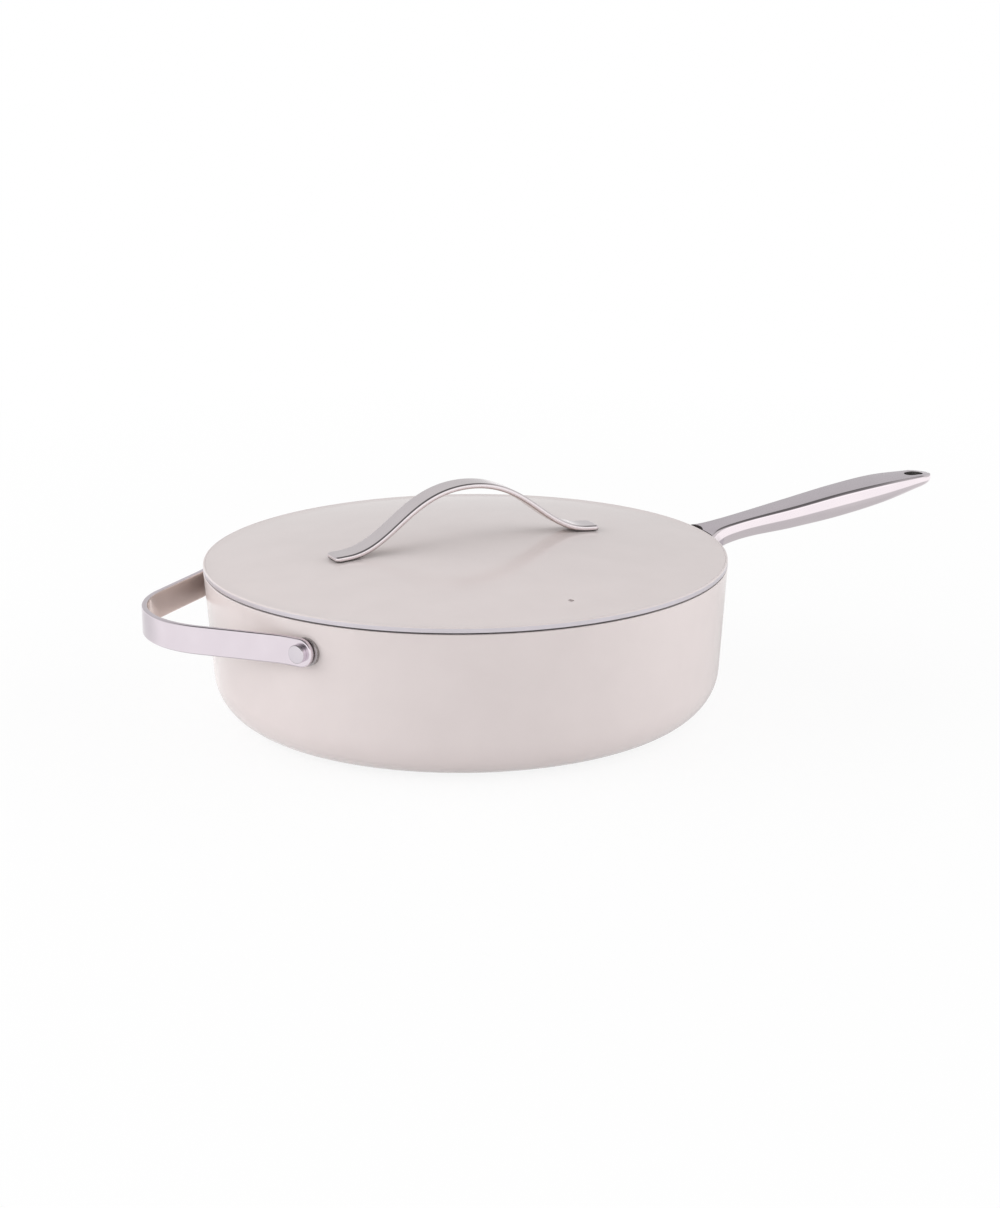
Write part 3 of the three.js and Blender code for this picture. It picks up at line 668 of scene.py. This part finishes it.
# Lid
def make_lid_band():
    outer = wall_radius(RIM_HEIGHT - SKIRT_DEPTH) - WALL_ACROSS - SKIRT_PLAY
    inner = outer - SKIRT
    profile = rounded((
        (inner, LEDGE, 0),
        (inner, -SKIRT_DEPTH, SKIRT_ROUND),
        (outer, -SKIRT_DEPTH, SKIRT_ROUND),
        (outer, 0, SKIRT_ROUND),
        (LID_RADIUS - LID_GROOVE_DEPTH, 0, LID_GROOVE_ROUND),
        (LID_RADIUS - LID_GROOVE_DEPTH, LID_GROOVE, LID_GROOVE_ROUND),
        (LID_RADIUS, LID_GROOVE, LID_GROOVE_ROUND),
        (LID_RADIUS, LID_EDGE, LID_EDGE_ROUND),
        (LID_RADIUS - LID_LIP, LID_EDGE, LID_LIP_ROUND),
        (LID_RADIUS - LID_LIP, LEDGE, 0),
    ), closed=True)
    return new_piece("lid_band", placed(turned(profile, closed=True), LID_PLACE))


def make_lid_sheet():
    reach = DOME_RADIUS * LID_DOME_SHARE
    radii = [reach * step / DOME_STEPS for step in range(DOME_STEPS + 1)]
    dome = [(radius, dome_height(radius), 0) for radius in radii]
    under = [(radius, height - LID_SHEET, 0) for radius, height, _ in reversed(dome)]
    profile = rounded((
        *dome,
        (DOME_RADIUS, LID_EDGE, LID_LAND_ROUND),
        (PLATE_RADIUS, LID_EDGE, LID_SHEET_ROUND),
        (PLATE_RADIUS, LEDGE, LID_SHEET_ROUND),
        (DOME_RADIUS, LEDGE, LID_LAND_ROUND),
        *under,
    ))
    sheet = new_piece("lid_sheet", placed(turned(profile), LID_PLACE))
    distance = DOME_RADIUS - VENT_INSET
    place = Matrix.Translation((distance * cos(VENT_ANGLE), distance * sin(VENT_ANGLE), 0))
    rod = ((0, 0), (VENT_RADIUS, 0), (VENT_RADIUS, 2 * LID_CROWN), (0, 2 * LID_CROWN))
    vent = placed(turned(rod, SMALL_STEPS), LID_PLACE @ place)
    return combine(sheet, "DIFFERENCE", new_piece("vent", vent))


def strap_route():
    """The arch from the side: a foot square on each stud, swept up to the middle."""
    outward = Vector((cos(STUD_TILT), -sin(STUD_TILT)))
    upward = Vector((sin(STUD_TILT), cos(STUD_TILT)))
    stud = Vector((STUD_AT, dome_height(STUD_AT))) + upward * (CLEARANCE + STRAP_GAUGE / 2)
    end = stud + outward * STUD_INSET
    start = end - outward * STRAP_FOOT
    arch = LID_CROWN + STRAP_GAP + STRAP_GAUGE / 2
    middle = Vector((0, arch))
    shoulder = Vector((STRAP_SHOULDER, arch))
    sweep = start - outward * STRAP_SWEEP
    curve = bezier_points(middle, shoulder, sweep, start)
    return Route([middle] + curve + line_points(start, end))


def make_strap():
    route = strap_route()
    band = plate(route.length, STRAP_WIDTH, STRAP_END_ROUND, STRAP_GAUGE, STRAP_EDGE)
    upright = LID_PLACE @ Matrix.Rotation(pi / 2, 4, "X")
    return new_piece("lid_strap", bend(band, route, upright))


def stud_place(side):
    turn = Matrix.Rotation(side * STUD_TILT, 4, "Y")
    return LID_PLACE @ Matrix.Translation((side * STUD_AT, 0, dome_height(STUD_AT))) @ turn


def make_washer(name, placement):
    top = -LID_SHEET - CLEARANCE
    return new_piece(name, placed(turned(rounded((
        (WASHER_BORE, top, WASHER_ROUND),
        (WASHER_RADIUS, top, WASHER_ROUND),
        (WASHER_RADIUS, top - WASHER_THICKNESS, WASHER_ROUND),
        (WASHER_BORE, top - WASHER_THICKNESS, WASHER_ROUND),
    ), closed=True), SMALL_STEPS, closed=True), placement))


def make_nut(name, placement):
    """A hexagon with a dome on its lower end, both from one set of rings."""
    top = -LID_SHEET - WASHER_THICKNESS - 2 * CLEARANCE
    bottom = top - NUT_HEIGHT
    cap = NUT_ACROSS / 2 - CLEARANCE
    rings = []

    def hexagon(height, largest):
        ring = []
        for k in range(SMALL_STEPS):
            angle = 2 * pi * k / SMALL_STEPS
            to_flat = (angle + pi / 6) % (pi / 3) - pi / 6
            radius = min(NUT_ACROSS / 2 / cos(to_flat), largest)
            ring.append((radius * cos(angle), radius * sin(angle), height))
        rings.append(ring)

    widest = NUT_ACROSS / sqrt(3)
    hexagon(top, widest - NUT_CHAMFER)
    hexagon(top - NUT_CHAMFER / 2, widest)
    hexagon(bottom + NUT_CHAMFER / 2, widest)
    hexagon(bottom, NUT_ACROSS / 2)
    for step in range(TIP_STEPS):
        angle = pi / 2 * step / TIP_STEPS
        hexagon(bottom - NUT_CAP * sin(angle), cap * cos(angle))
    return new_piece(name, placed(lofted(rings), placement))


# Materials
NOISE_LOW = 0.3  # the range that the values of a noise mostly keep to
NOISE_HIGH = 0.7
SMEARS = 60.0  # scale of the faint smears on all steel
BUMP_DEPTH = 0.0001  # of the grain of steel, in metres
GRAIN_BUMP = 0.05
TURNING_BUMP = 0.06
STRAP_GRAIN = (40, 2500, 1)  # scales along and across a strap
STRAP_ROUGH = (0.13, 0.2)
GRIP_GRAIN = (30, 900, 900)
COATING_DARK = (0.72, 0.648, 0.64)
COATING_LIGHT = (0.74, 0.667, 0.659)
COATING_ROUGH = (0.14, 0.17)
COATING_MOTTLE = 45.0  # scales of its mottle, of its gloss and of its sprayed skin
COATING_GLOSS = 25.0
COATING_SKIN = 900.0
COATING_BUMP = 0.03
COATING_SPECULAR = 0.3


def add_node(tree, kind, **inputs):
    """A node of a shader tree, with its inputs set to values or linked to other nodes' outputs."""
    node = tree.nodes.new("ShaderNode" + kind)
    for name, value in inputs.items():
        socket = node.inputs[name.replace("_", " ")]
        if isinstance(value, bpy.types.NodeSocket):
            tree.links.new(value, socket)
        else:
            socket.default_value = value
    return node


def new_material(name):
    material = bpy.data.materials.new(name)
    material.use_nodes = True
    return material, material.node_tree, material.node_tree.nodes["Principled BSDF"]


def stretched(tree, coordinate, scale):
    return add_node(tree, "Mapping", Vector=coordinate, Scale=scale).outputs["Vector"]


def noise(tree, vector, scale, detail=2.0):
    return add_node(tree, "TexNoise", Vector=vector, Scale=scale, Detail=detail).outputs["Fac"]


def to_range(tree, value, low, high):
    node = add_node(
        tree, "MapRange", Value=value,
        From_Min=NOISE_LOW, From_Max=NOISE_HIGH, To_Min=low, To_Max=high,
    )
    return node.outputs["Result"]


def tones(tree, value, dark, light):
    ramp = add_node(tree, "ValToRGB", Fac=value)
    stops = ((NOISE_LOW, dark), (NOISE_HIGH, light))
    for element, (position, colour) in zip(ramp.color_ramp.elements, stops):
        element.position = position
        element.color = (*colour, 1)
    return ramp.outputs["Color"]


def link_bump(tree, shader, height, strength, distance):
    bump = add_node(tree, "Bump", Height=height, Strength=strength, Distance=distance)
    tree.links.new(bump.outputs["Normal"], shader.inputs["Normal"])


def make_coating():
    """Satin ceramic coating: warm pale grey, with a faint mottle and a fine sprayed skin."""
    material, tree, shader = new_material("ceramic_coating")
    place = add_node(tree, "TexCoord").outputs["Object"]
    mottle = noise(tree, place, COATING_MOTTLE, detail=3.0)
    colour = tones(tree, mottle, COATING_DARK, COATING_LIGHT)
    tree.links.new(colour, shader.inputs["Base Color"])
    roughness = to_range(tree, noise(tree, place, COATING_GLOSS), *COATING_ROUGH)
    tree.links.new(roughness, shader.inputs["Roughness"])
    skin = noise(tree, place, COATING_SKIN, detail=1.0)
    link_bump(tree, shader, skin, COATING_BUMP, BUMP_DEPTH / 2)
    shader.inputs["Specular IOR Level"].default_value = COATING_SPECULAR
    return material


def make_steel(name, dark, light, rough, grain, coordinate="Object"):
    """Stainless steel with a grain: noise drawn out along one axis tints, roughens and bumps it."""
    material, tree, shader = new_material(name)
    place = add_node(tree, "TexCoord").outputs[coordinate]
    lines = noise(tree, stretched(tree, place, grain), scale=1.0, detail=3.0)
    smears = noise(tree, place, SMEARS)
    tree.links.new(tones(tree, smears, dark, light), shader.inputs["Base Color"])
    tree.links.new(to_range(tree, lines, *rough), shader.inputs["Roughness"])
    link_bump(tree, shader, lines, GRAIN_BUMP, BUMP_DEPTH)
    shader.inputs["Metallic"].default_value = 1.0
    return material


def make_strap_steel(name, dark, light):
    return make_steel(name, dark, light, STRAP_ROUGH, STRAP_GRAIN, "UV")


def make_even_steel(name, dark, light, rough, grain):
    """Steel with the same grain in all directions."""
    return make_steel(name, dark, light, rough, (grain, grain, grain))


def make_turned_steel(name, dark, light, rough, pitch, metallic=1.0):
    """Stainless steel turned on a lathe: fine rings round the middle of the pan."""
    material, tree, shader = new_material(name)
    place = add_node(tree, "TexCoord").outputs["Object"]
    level = stretched(tree, place, (1, 1, 0))
    radius = add_node(tree, "VectorMath", Vector=level)
    radius.operation = "LENGTH"
    rings = add_node(tree, "TexNoise", Scale=1 / pitch, Detail=2.0)
    rings.noise_dimensions = "1D"
    tree.links.new(radius.outputs["Value"], rings.inputs["W"])
    smears = noise(tree, place, SMEARS)
    tree.links.new(tones(tree, smears, dark, light), shader.inputs["Base Color"])
    tree.links.new(to_range(tree, rings.outputs["Fac"], *rough), shader.inputs["Roughness"])
    link_bump(tree, shader, rings.outputs["Fac"], TURNING_BUMP, BUMP_DEPTH)
    shader.inputs["Metallic"].default_value = metallic
    return material


# Object
def dress(piece, node, body, material):
    piece.data.materials.clear()
    piece.data.materials.append(material)
    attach(piece, body)
    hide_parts(node)


def finish_or_shade(piece, material, test):
    """Gives another material, a finish or painted shade, to the faces whose middle and normal pass
    a test.
    """
    piece.data.materials.append(material)
    for face in piece.data.polygons:
        if test(face.center / MM, face.normal):
            face.material_index = len(piece.data.materials) - 1


# Where one finish or painted shade ends and the next starts, as parts of a face's normal
STEEP = 0.5  # walls of a cut stay under this
GRIP_TOP = 0.93  # upward, on the grip's top
LIP_TOP = 0.25  # upward, on the lip of the lid's band
UNDERSIDE = -0.2  # upward, below the arch
INNER = -0.6  # outward, on the inner face of the helper handle


def in_grip_cut(point, normal):
    """Inside the hanging slot, and in the hollow beside the lid: faces that get painted shade."""
    beyond = point.x - (RIM_RADIUS + GRIP_LENGTH - SLOT_WALL - SLOT_LENGTH)
    in_slot = -WELD < beyond < SLOT_LENGTH + WELD and abs(point.y) < SLOT_WIDTH / 2 + WELD
    beside_lid = point.xy.length < LID_RADIUS + HOLLOW_DEPTH + WELD and point.z > RIM_HEIGHT
    inward = normal.xy.dot(point.xy) < 0
    return abs(normal.z) < STEEP and (in_slot or beside_lid and inward)


def on_grip_top(point, normal):
    return point.z > RIM_HEIGHT and normal.z > GRIP_TOP


def on_root(point, normal):
    """On the flange and the underside of the root."""
    near_wall = point.xy.length < wall_radius(point.z) + ROOT_BLASTED
    return near_wall and point.z < RIM_HEIGHT - ROOT_DROP


def towards_pan(point, normal):
    """On the inner face of the helper handle, which gets a painted reflection of the pan's wall."""
    return normal.xy.dot(point.xy.normalized()) < INNER


def on_underside(point, normal):
    return normal.z < UNDERSIDE


def under_foot(point, normal):
    """On the underside of the arch's feet, close to the lid, which get a painted contact shadow."""
    gap = point.z - LID_SEAT - dome_height(point.xy.length)
    return on_underside(point, normal) and gap < STRAP_GAUGE / 2


def in_groove(point, normal):
    """In the groove between the band and the rim, which gets painted shade."""
    outside = point.xy.length > LID_RADIUS - LID_GROOVE_DEPTH - SUPPORT
    return outside and point.z < LID_SEAT + LID_GROOVE + WELD


def on_band_top(point, normal):
    """The coating runs over the lip of the band."""
    return point.xy.length > PLATE_RADIUS and normal.z > LIP_TOP


# Steels: the two tones of their smears, the range of their roughness and their grain
STEEL_DARK = (0.77, 0.695, 0.75)
STEEL_LIGHT = (0.81, 0.735, 0.79)

coating = make_coating()
strap_steel = make_strap_steel("strap_steel", STEEL_DARK, STEEL_LIGHT)
arch_steel = make_strap_steel("arch_steel", (0.83, 0.765, 0.785), (0.87, 0.8, 0.82))
# Painted reflection: a browner, darker steel for the helper's inner face, in place of the pan's
# wall that it reflects
painted_wall_reflection = make_strap_steel("painted_wall_reflection", (0.68, 0.6, 0.56), (0.72, 0.64, 0.6))
# Painted shade: a darker, browner steel on the arch's underside
painted_underside_shade = make_strap_steel("painted_underside_shade", (0.54, 0.47, 0.44), (0.58, 0.51, 0.48))
grip_steel = make_steel(
    "grip_steel", (0.92, 0.835, 0.875), (0.96, 0.875, 0.91), (0.08, 0.13), GRIP_GRAIN
)
# Satin steel for the grip's top: a rougher grain, and a darker colour that is painted shade
satin_shaded_steel = make_steel(
    "satin_shaded_steel", (0.68, 0.615, 0.66), (0.72, 0.65, 0.7), (0.16, 0.24), GRIP_GRAIN
)
fixing_steel = make_even_steel(
    "fixing_steel", (0.68, 0.63, 0.68), (0.74, 0.69, 0.735), (0.12, 0.18), grain=700
)
spacer_steel = make_even_steel(
    "spacer_steel", (0.4, 0.38, 0.38), (0.48, 0.46, 0.455), (0.2, 0.3), grain=500
)
blasted_steel = make_even_steel(
    "blasted_steel", STEEL_DARK, STEEL_LIGHT, (0.4, 0.5), grain=900
)
# Painted shade: near-black steel for the hanging slot, the hollow at the root and under the arch's
# feet
painted_recess_shade = make_even_steel(
    "painted_recess_shade", (0.22, 0.21, 0.205), (0.28, 0.265, 0.26), (0.35, 0.5), grain=300
)
# Painted shade: near-black steel in the groove between the band and the rim
painted_groove_shade = make_even_steel(
    "painted_groove_shade", (0.05, 0.048, 0.05), (0.07, 0.068, 0.07), (0.5, 0.6), grain=300
)
band_steel = make_turned_steel(
    "band_steel", (0.61, 0.575, 0.61), (0.65, 0.61, 0.65), (0.34, 0.42),
    pitch=0.0004, metallic=0.45,
)
base_steel = make_turned_steel(
    "base_steel", STEEL_DARK, STEEL_LIGHT, (0.26, 0.4), pitch=0.0008
)

dress(make_body(), "pan_body", "pan", coating)
dress(make_base(), "base_plate", "pan", base_steel)
grip = make_grip()
dress(grip, "long_handle", "pan", grip_steel)
# Painted shade in the hanging slot and in the hollow at the root
finish_or_shade(grip, painted_recess_shade, in_grip_cut)
# Satin grain and painted shade on the grip's top
finish_or_shade(grip, satin_shaded_steel, on_grip_top)
finish_or_shade(grip, blasted_steel, on_root)
helper = make_helper()
dress(helper, "helper_handle", "pan", strap_steel)
# Painted reflection of the pan's wall on the helper's inner face
finish_or_shade(helper, painted_wall_reflection, towards_pan)
for end, side in (("front", -1), ("back", 1)):
    aside = Vector((sin(HELPER_RIVET_ANGLE), side * cos(HELPER_RIVET_ANGLE), 0)) * SPACER_SHIFT
    place = Matrix.Translation(aside) @ helper_place(side)
    spacer = make_spacer(f"helper_spacer_{end}", place)
    dress(spacer, f"helper_pad_{end}", "pan", spacer_steel)
    button = make_rivet(f"helper_button_{end}", helper_place(side), HELPER_SEAT)
    dress(button, f"helper_rivet_{end}", "pan", fixing_steel)
    rivet = make_rivet(f"grip_button_{end}", flange_place(side), FLANGE_SEAT)
    dress(rivet, f"handle_rivet_{end}", "pan", fixing_steel)

dress(make_lid_sheet(), "lid_plate", "lid", coating)
band = make_lid_band()
dress(band, "lid_rim", "lid", band_steel)
# Painted shade in the groove under the band
finish_or_shade(band, painted_groove_shade, in_groove)
finish_or_shade(band, coating, on_band_top)
arch = make_strap()
dress(arch, "lid_handle", "lid", arch_steel)
# Painted shade on the arch's underside
finish_or_shade(arch, painted_underside_shade, on_underside)
# Painted contact shadow under the arch's feet
finish_or_shade(arch, painted_recess_shade, under_foot)
for end, side in (("left", -1), ("right", 1)):
    washer = make_washer(f"lid_disc_{end}", stud_place(side))
    dress(washer, f"lid_washer_{end}", "lid", fixing_steel)
    nut = make_nut(f"lid_cap_{end}", stud_place(side))
    dress(nut, f"lid_nut_{end}", "lid", fixing_steel)
    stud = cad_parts[f"lid_stud_{end}"]
    stud.data.materials.clear()
    stud.data.materials.append(fixing_steel)

# Camera, at the photograph's angle
PHOTO_WIDTH = 1000
PHOTO_HEIGHT = 1208
FOCUS = 2789.8  # focal length in pixels of the photograph
AIM = Vector((0, 0, 0.06))
AIM_PIXEL = (466.1, 597.0)  # where the aim lies in the photograph
DISTANCE = 1.5
AZIMUTH = radians(-21.2)
ELEVATION = 0.2721
ROLL = -0.0103
SENSOR = 36

camera = bpy.data.objects.new("camera", bpy.data.cameras.new("camera"))
bpy.context.scene.collection.objects.link(camera)
camera.data.sensor_width = SENSOR
camera.data.lens = FOCUS / PHOTO_HEIGHT * SENSOR
orbit = Matrix.Rotation(AZIMUTH, 4, "Z") @ Matrix.Rotation(pi / 2 - ELEVATION, 4, "X")
sideways = Matrix.Rotation(atan((AIM_PIXEL[0] - PHOTO_WIDTH / 2) / FOCUS), 4, "Y")
upwards = Matrix.Rotation(atan((AIM_PIXEL[1] - PHOTO_HEIGHT / 2) / FOCUS), 4, "X")
back = orbit @ Vector((0, 0, DISTANCE))
turn = orbit @ sideways @ upwards @ Matrix.Rotation(ROLL, 4, "Z")
camera.matrix_world = Matrix.Translation(AIM + back) @ turn
bpy.context.scene.camera = camera


# Stage: a white floor that keeps a faint shadow, a studio with a dim ceiling, and soft light
FLOOR_REACH = 30
FLOOR_COLOUR = (0.95, 0.95, 0.95, 1)
FLOOR_ROUGHNESS = 0.9
FLOOR_GLOSS = 0.1
SHADOW_NEAR = 0.35  # the floor keeps its shadow to here
SHADOW_FAR = 0.9  # and is plain white from here
SHADOW_SHARE = 0.13
# Painted shadows on the floor that show only in reflections, below the long handle, below the
# helper handle and behind it: middle, reach along X and Y, and level
REFLECTED_SHADOW_SPOTS = (
    ((0.2, 0), (0.42, 0.21), 0.56),
    ((-0.17, 0), (0.05, 0.12), 0.5),
    ((-0.27, 0.22), (0.14, 0.14), 0.78),
)
REFLECTED_SHADOW_CORE = 0.3  # share of the reach that is fully dim
AMBIENT = 0.63  # light from all round
# Levels that metal shows of the studio behind the pan and in front of it, by the sine of the
# elevation: pale walls and a dim ceiling
STUDIO_BACK = ((0.0, 0.75), (0.12, 0.66), (0.26, 0.6), (0.46, 0.64), (0.66, 0.58), (0.82, 0.12))
STUDIO_FRONT = ((0.0, 1.15), (0.32, 1.15), (0.5, 0.45), (0.66, 0.12))
FRONT_EDGE = 0.6  # the front counts in full from here, by the cosine to straight ahead
SOFTBOX_DISTANCE = 1.8
SOFTBOX_WIDTH = 2.6
SOFTBOX_HEIGHT = 1.3
SOFTBOX_ELEVATION = radians(22)


def calculated(tree, operation, *values):
    node = tree.nodes.new("ShaderNodeMath")
    node.operation = operation
    for socket, value in zip(node.inputs, values):
        if isinstance(value, bpy.types.NodeSocket):
            tree.links.new(value, socket)
        else:
            socket.default_value = value
    return node.outputs["Value"]


def mixed(tree, share, first, second):
    mix = add_node(tree, "MixShader", Fac=share)
    tree.links.new(first, mix.inputs[1])
    tree.links.new(second, mix.inputs[2])
    return mix.outputs["Shader"]


def ray_kinds(tree):
    """1 for rays of the camera, and 1 for rays of reflections and of light through things."""
    path = add_node(tree, "LightPath").outputs
    others = path["Is Glossy Ray"], path["Is Transmission Ray"]
    return path["Is Camera Ray"], calculated(tree, "MAXIMUM", *others)


def make_floor():
    bm = bmesh.new()
    bmesh.ops.create_grid(bm, x_segments=1, y_segments=1, size=FLOOR_REACH)
    mesh = bpy.data.meshes.new("floor")
    bm.to_mesh(mesh)
    bm.free()
    floor = bpy.data.objects.new("floor", mesh)
    bpy.context.scene.collection.objects.link(floor)
    material, tree, shader = new_material("white_floor")
    shader.inputs["Base Color"].default_value = FLOOR_COLOUR
    shader.inputs["Roughness"].default_value = FLOOR_ROUGHNESS
    shader.inputs["Specular IOR Level"].default_value = FLOOR_GLOSS
    place = add_node(tree, "TexCoord").outputs["Object"]
    radius = add_node(tree, "VectorMath", Vector=place)
    radius.operation = "LENGTH"
    plain = add_node(
        tree, "MapRange", Value=radius.outputs["Value"],
        From_Min=SHADOW_NEAR, From_Max=SHADOW_FAR, To_Min=1 - SHADOW_SHARE, To_Max=1.0,
    )
    brightness = 1.0
    # Painted shadows, seen only in reflections of the floor
    for middle, reach, level in REFLECTED_SHADOW_SPOTS:
        scale = (1 / reach[0], 1 / reach[1], 1)
        shift = (-middle[0] / reach[0], -middle[1] / reach[1], 0)
        local = add_node(tree, "Mapping", Vector=place, Location=shift, Scale=scale)
        spread = add_node(tree, "VectorMath", Vector=local.outputs["Vector"])
        spread.operation = "LENGTH"
        dim = add_node(
            tree, "MapRange", Value=spread.outputs["Value"],
            From_Min=REFLECTED_SHADOW_CORE, From_Max=1.0, To_Min=level, To_Max=1.0,
        )
        brightness = calculated(tree, "MULTIPLY", brightness, dim.outputs["Result"])
    white = add_node(tree, "Emission", Strength=1.0)
    mirror = add_node(tree, "Emission", Strength=brightness)
    seen, mirrored = ray_kinds(tree)
    share = calculated(tree, "MULTIPLY", seen, plain.outputs["Result"])
    surface = mixed(tree, share, shader.outputs["BSDF"], white.outputs["Emission"])
    surface = mixed(tree, mirrored, surface, mirror.outputs["Emission"])
    tree.links.new(surface, tree.nodes["Material Output"].inputs["Surface"])
    mesh.materials.append(material)


def levels(tree, value, stops):
    """Greys by a value, from stops of position and level."""
    ramp = add_node(tree, "ValToRGB", Fac=value)
    elements = ramp.color_ramp.elements
    while len(elements) < len(stops):
        elements.new(1.0)
    for element, (position, level) in zip(elements, stops):
        element.position = position
        element.color = (level, level, level, 1)
    return ramp.outputs["Color"]


def make_world():
    world = bpy.data.worlds.new("studio")
    world.use_nodes = True
    bpy.context.scene.world = world
    tree = world.node_tree
    tree.nodes.remove(tree.nodes["Background"])
    direction = add_node(tree, "TexCoord").outputs["Generated"]
    height = add_node(tree, "SeparateXYZ", Vector=direction).outputs["Z"]
    ahead = add_node(tree, "VectorMath")
    ahead.operation = "DOT_PRODUCT"
    tree.links.new(direction, ahead.inputs[0])
    ahead.inputs[1].default_value = (sin(AZIMUTH), -cos(AZIMUTH), 0)
    front_share = add_node(
        tree, "MapRange", Value=ahead.outputs["Value"], From_Min=0.0, From_Max=FRONT_EDGE
    ).outputs["Result"]
    light = add_node(tree, "Background", Color=(1, 1, 1, 1), Strength=AMBIENT)
    back = add_node(tree, "Background", Color=levels(tree, height, STUDIO_BACK), Strength=1.0)
    front = add_node(tree, "Background", Color=levels(tree, height, STUDIO_FRONT), Strength=1.0)
    white = add_node(tree, "Background", Color=(1, 1, 1, 1), Strength=1.0)
    seen, mirrored = ray_kinds(tree)
    studio = mixed(tree, front_share, back.outputs["Background"], front.outputs["Background"])
    surface = mixed(tree, mirrored, light.outputs["Background"], studio)
    surface = mixed(tree, seen, surface, white.outputs["Background"])
    tree.links.new(surface, tree.nodes["World Output"].inputs["Surface"])


def add_softbox(name, azimuth, radiance):
    """A lamp turned to the pan, with the radiance that its face shows."""
    level = cos(SOFTBOX_ELEVATION)
    direction = Vector((sin(azimuth) * level, -cos(azimuth) * level, sin(SOFTBOX_ELEVATION)))
    lamp = bpy.data.lights.new(name, "AREA")
    lamp.shape = "RECTANGLE"
    lamp.size = SOFTBOX_WIDTH
    lamp.size_y = SOFTBOX_HEIGHT
    lamp.energy = radiance * pi * SOFTBOX_WIDTH * SOFTBOX_HEIGHT
    softbox = bpy.data.objects.new(name, lamp)
    bpy.context.scene.collection.objects.link(softbox)
    softbox.matrix_world = facing(AIM + direction * SOFTBOX_DISTANCE, direction)
    softbox.visible_camera = False
    softbox.visible_glossy = False


make_floor()
make_world()
add_softbox("left_softbox", azimuth=radians(-108), radiance=2.3)
add_softbox("right_softbox", azimuth=radians(64), radiance=1.6)

bpy.context.scene.view_settings.view_transform = "Standard"
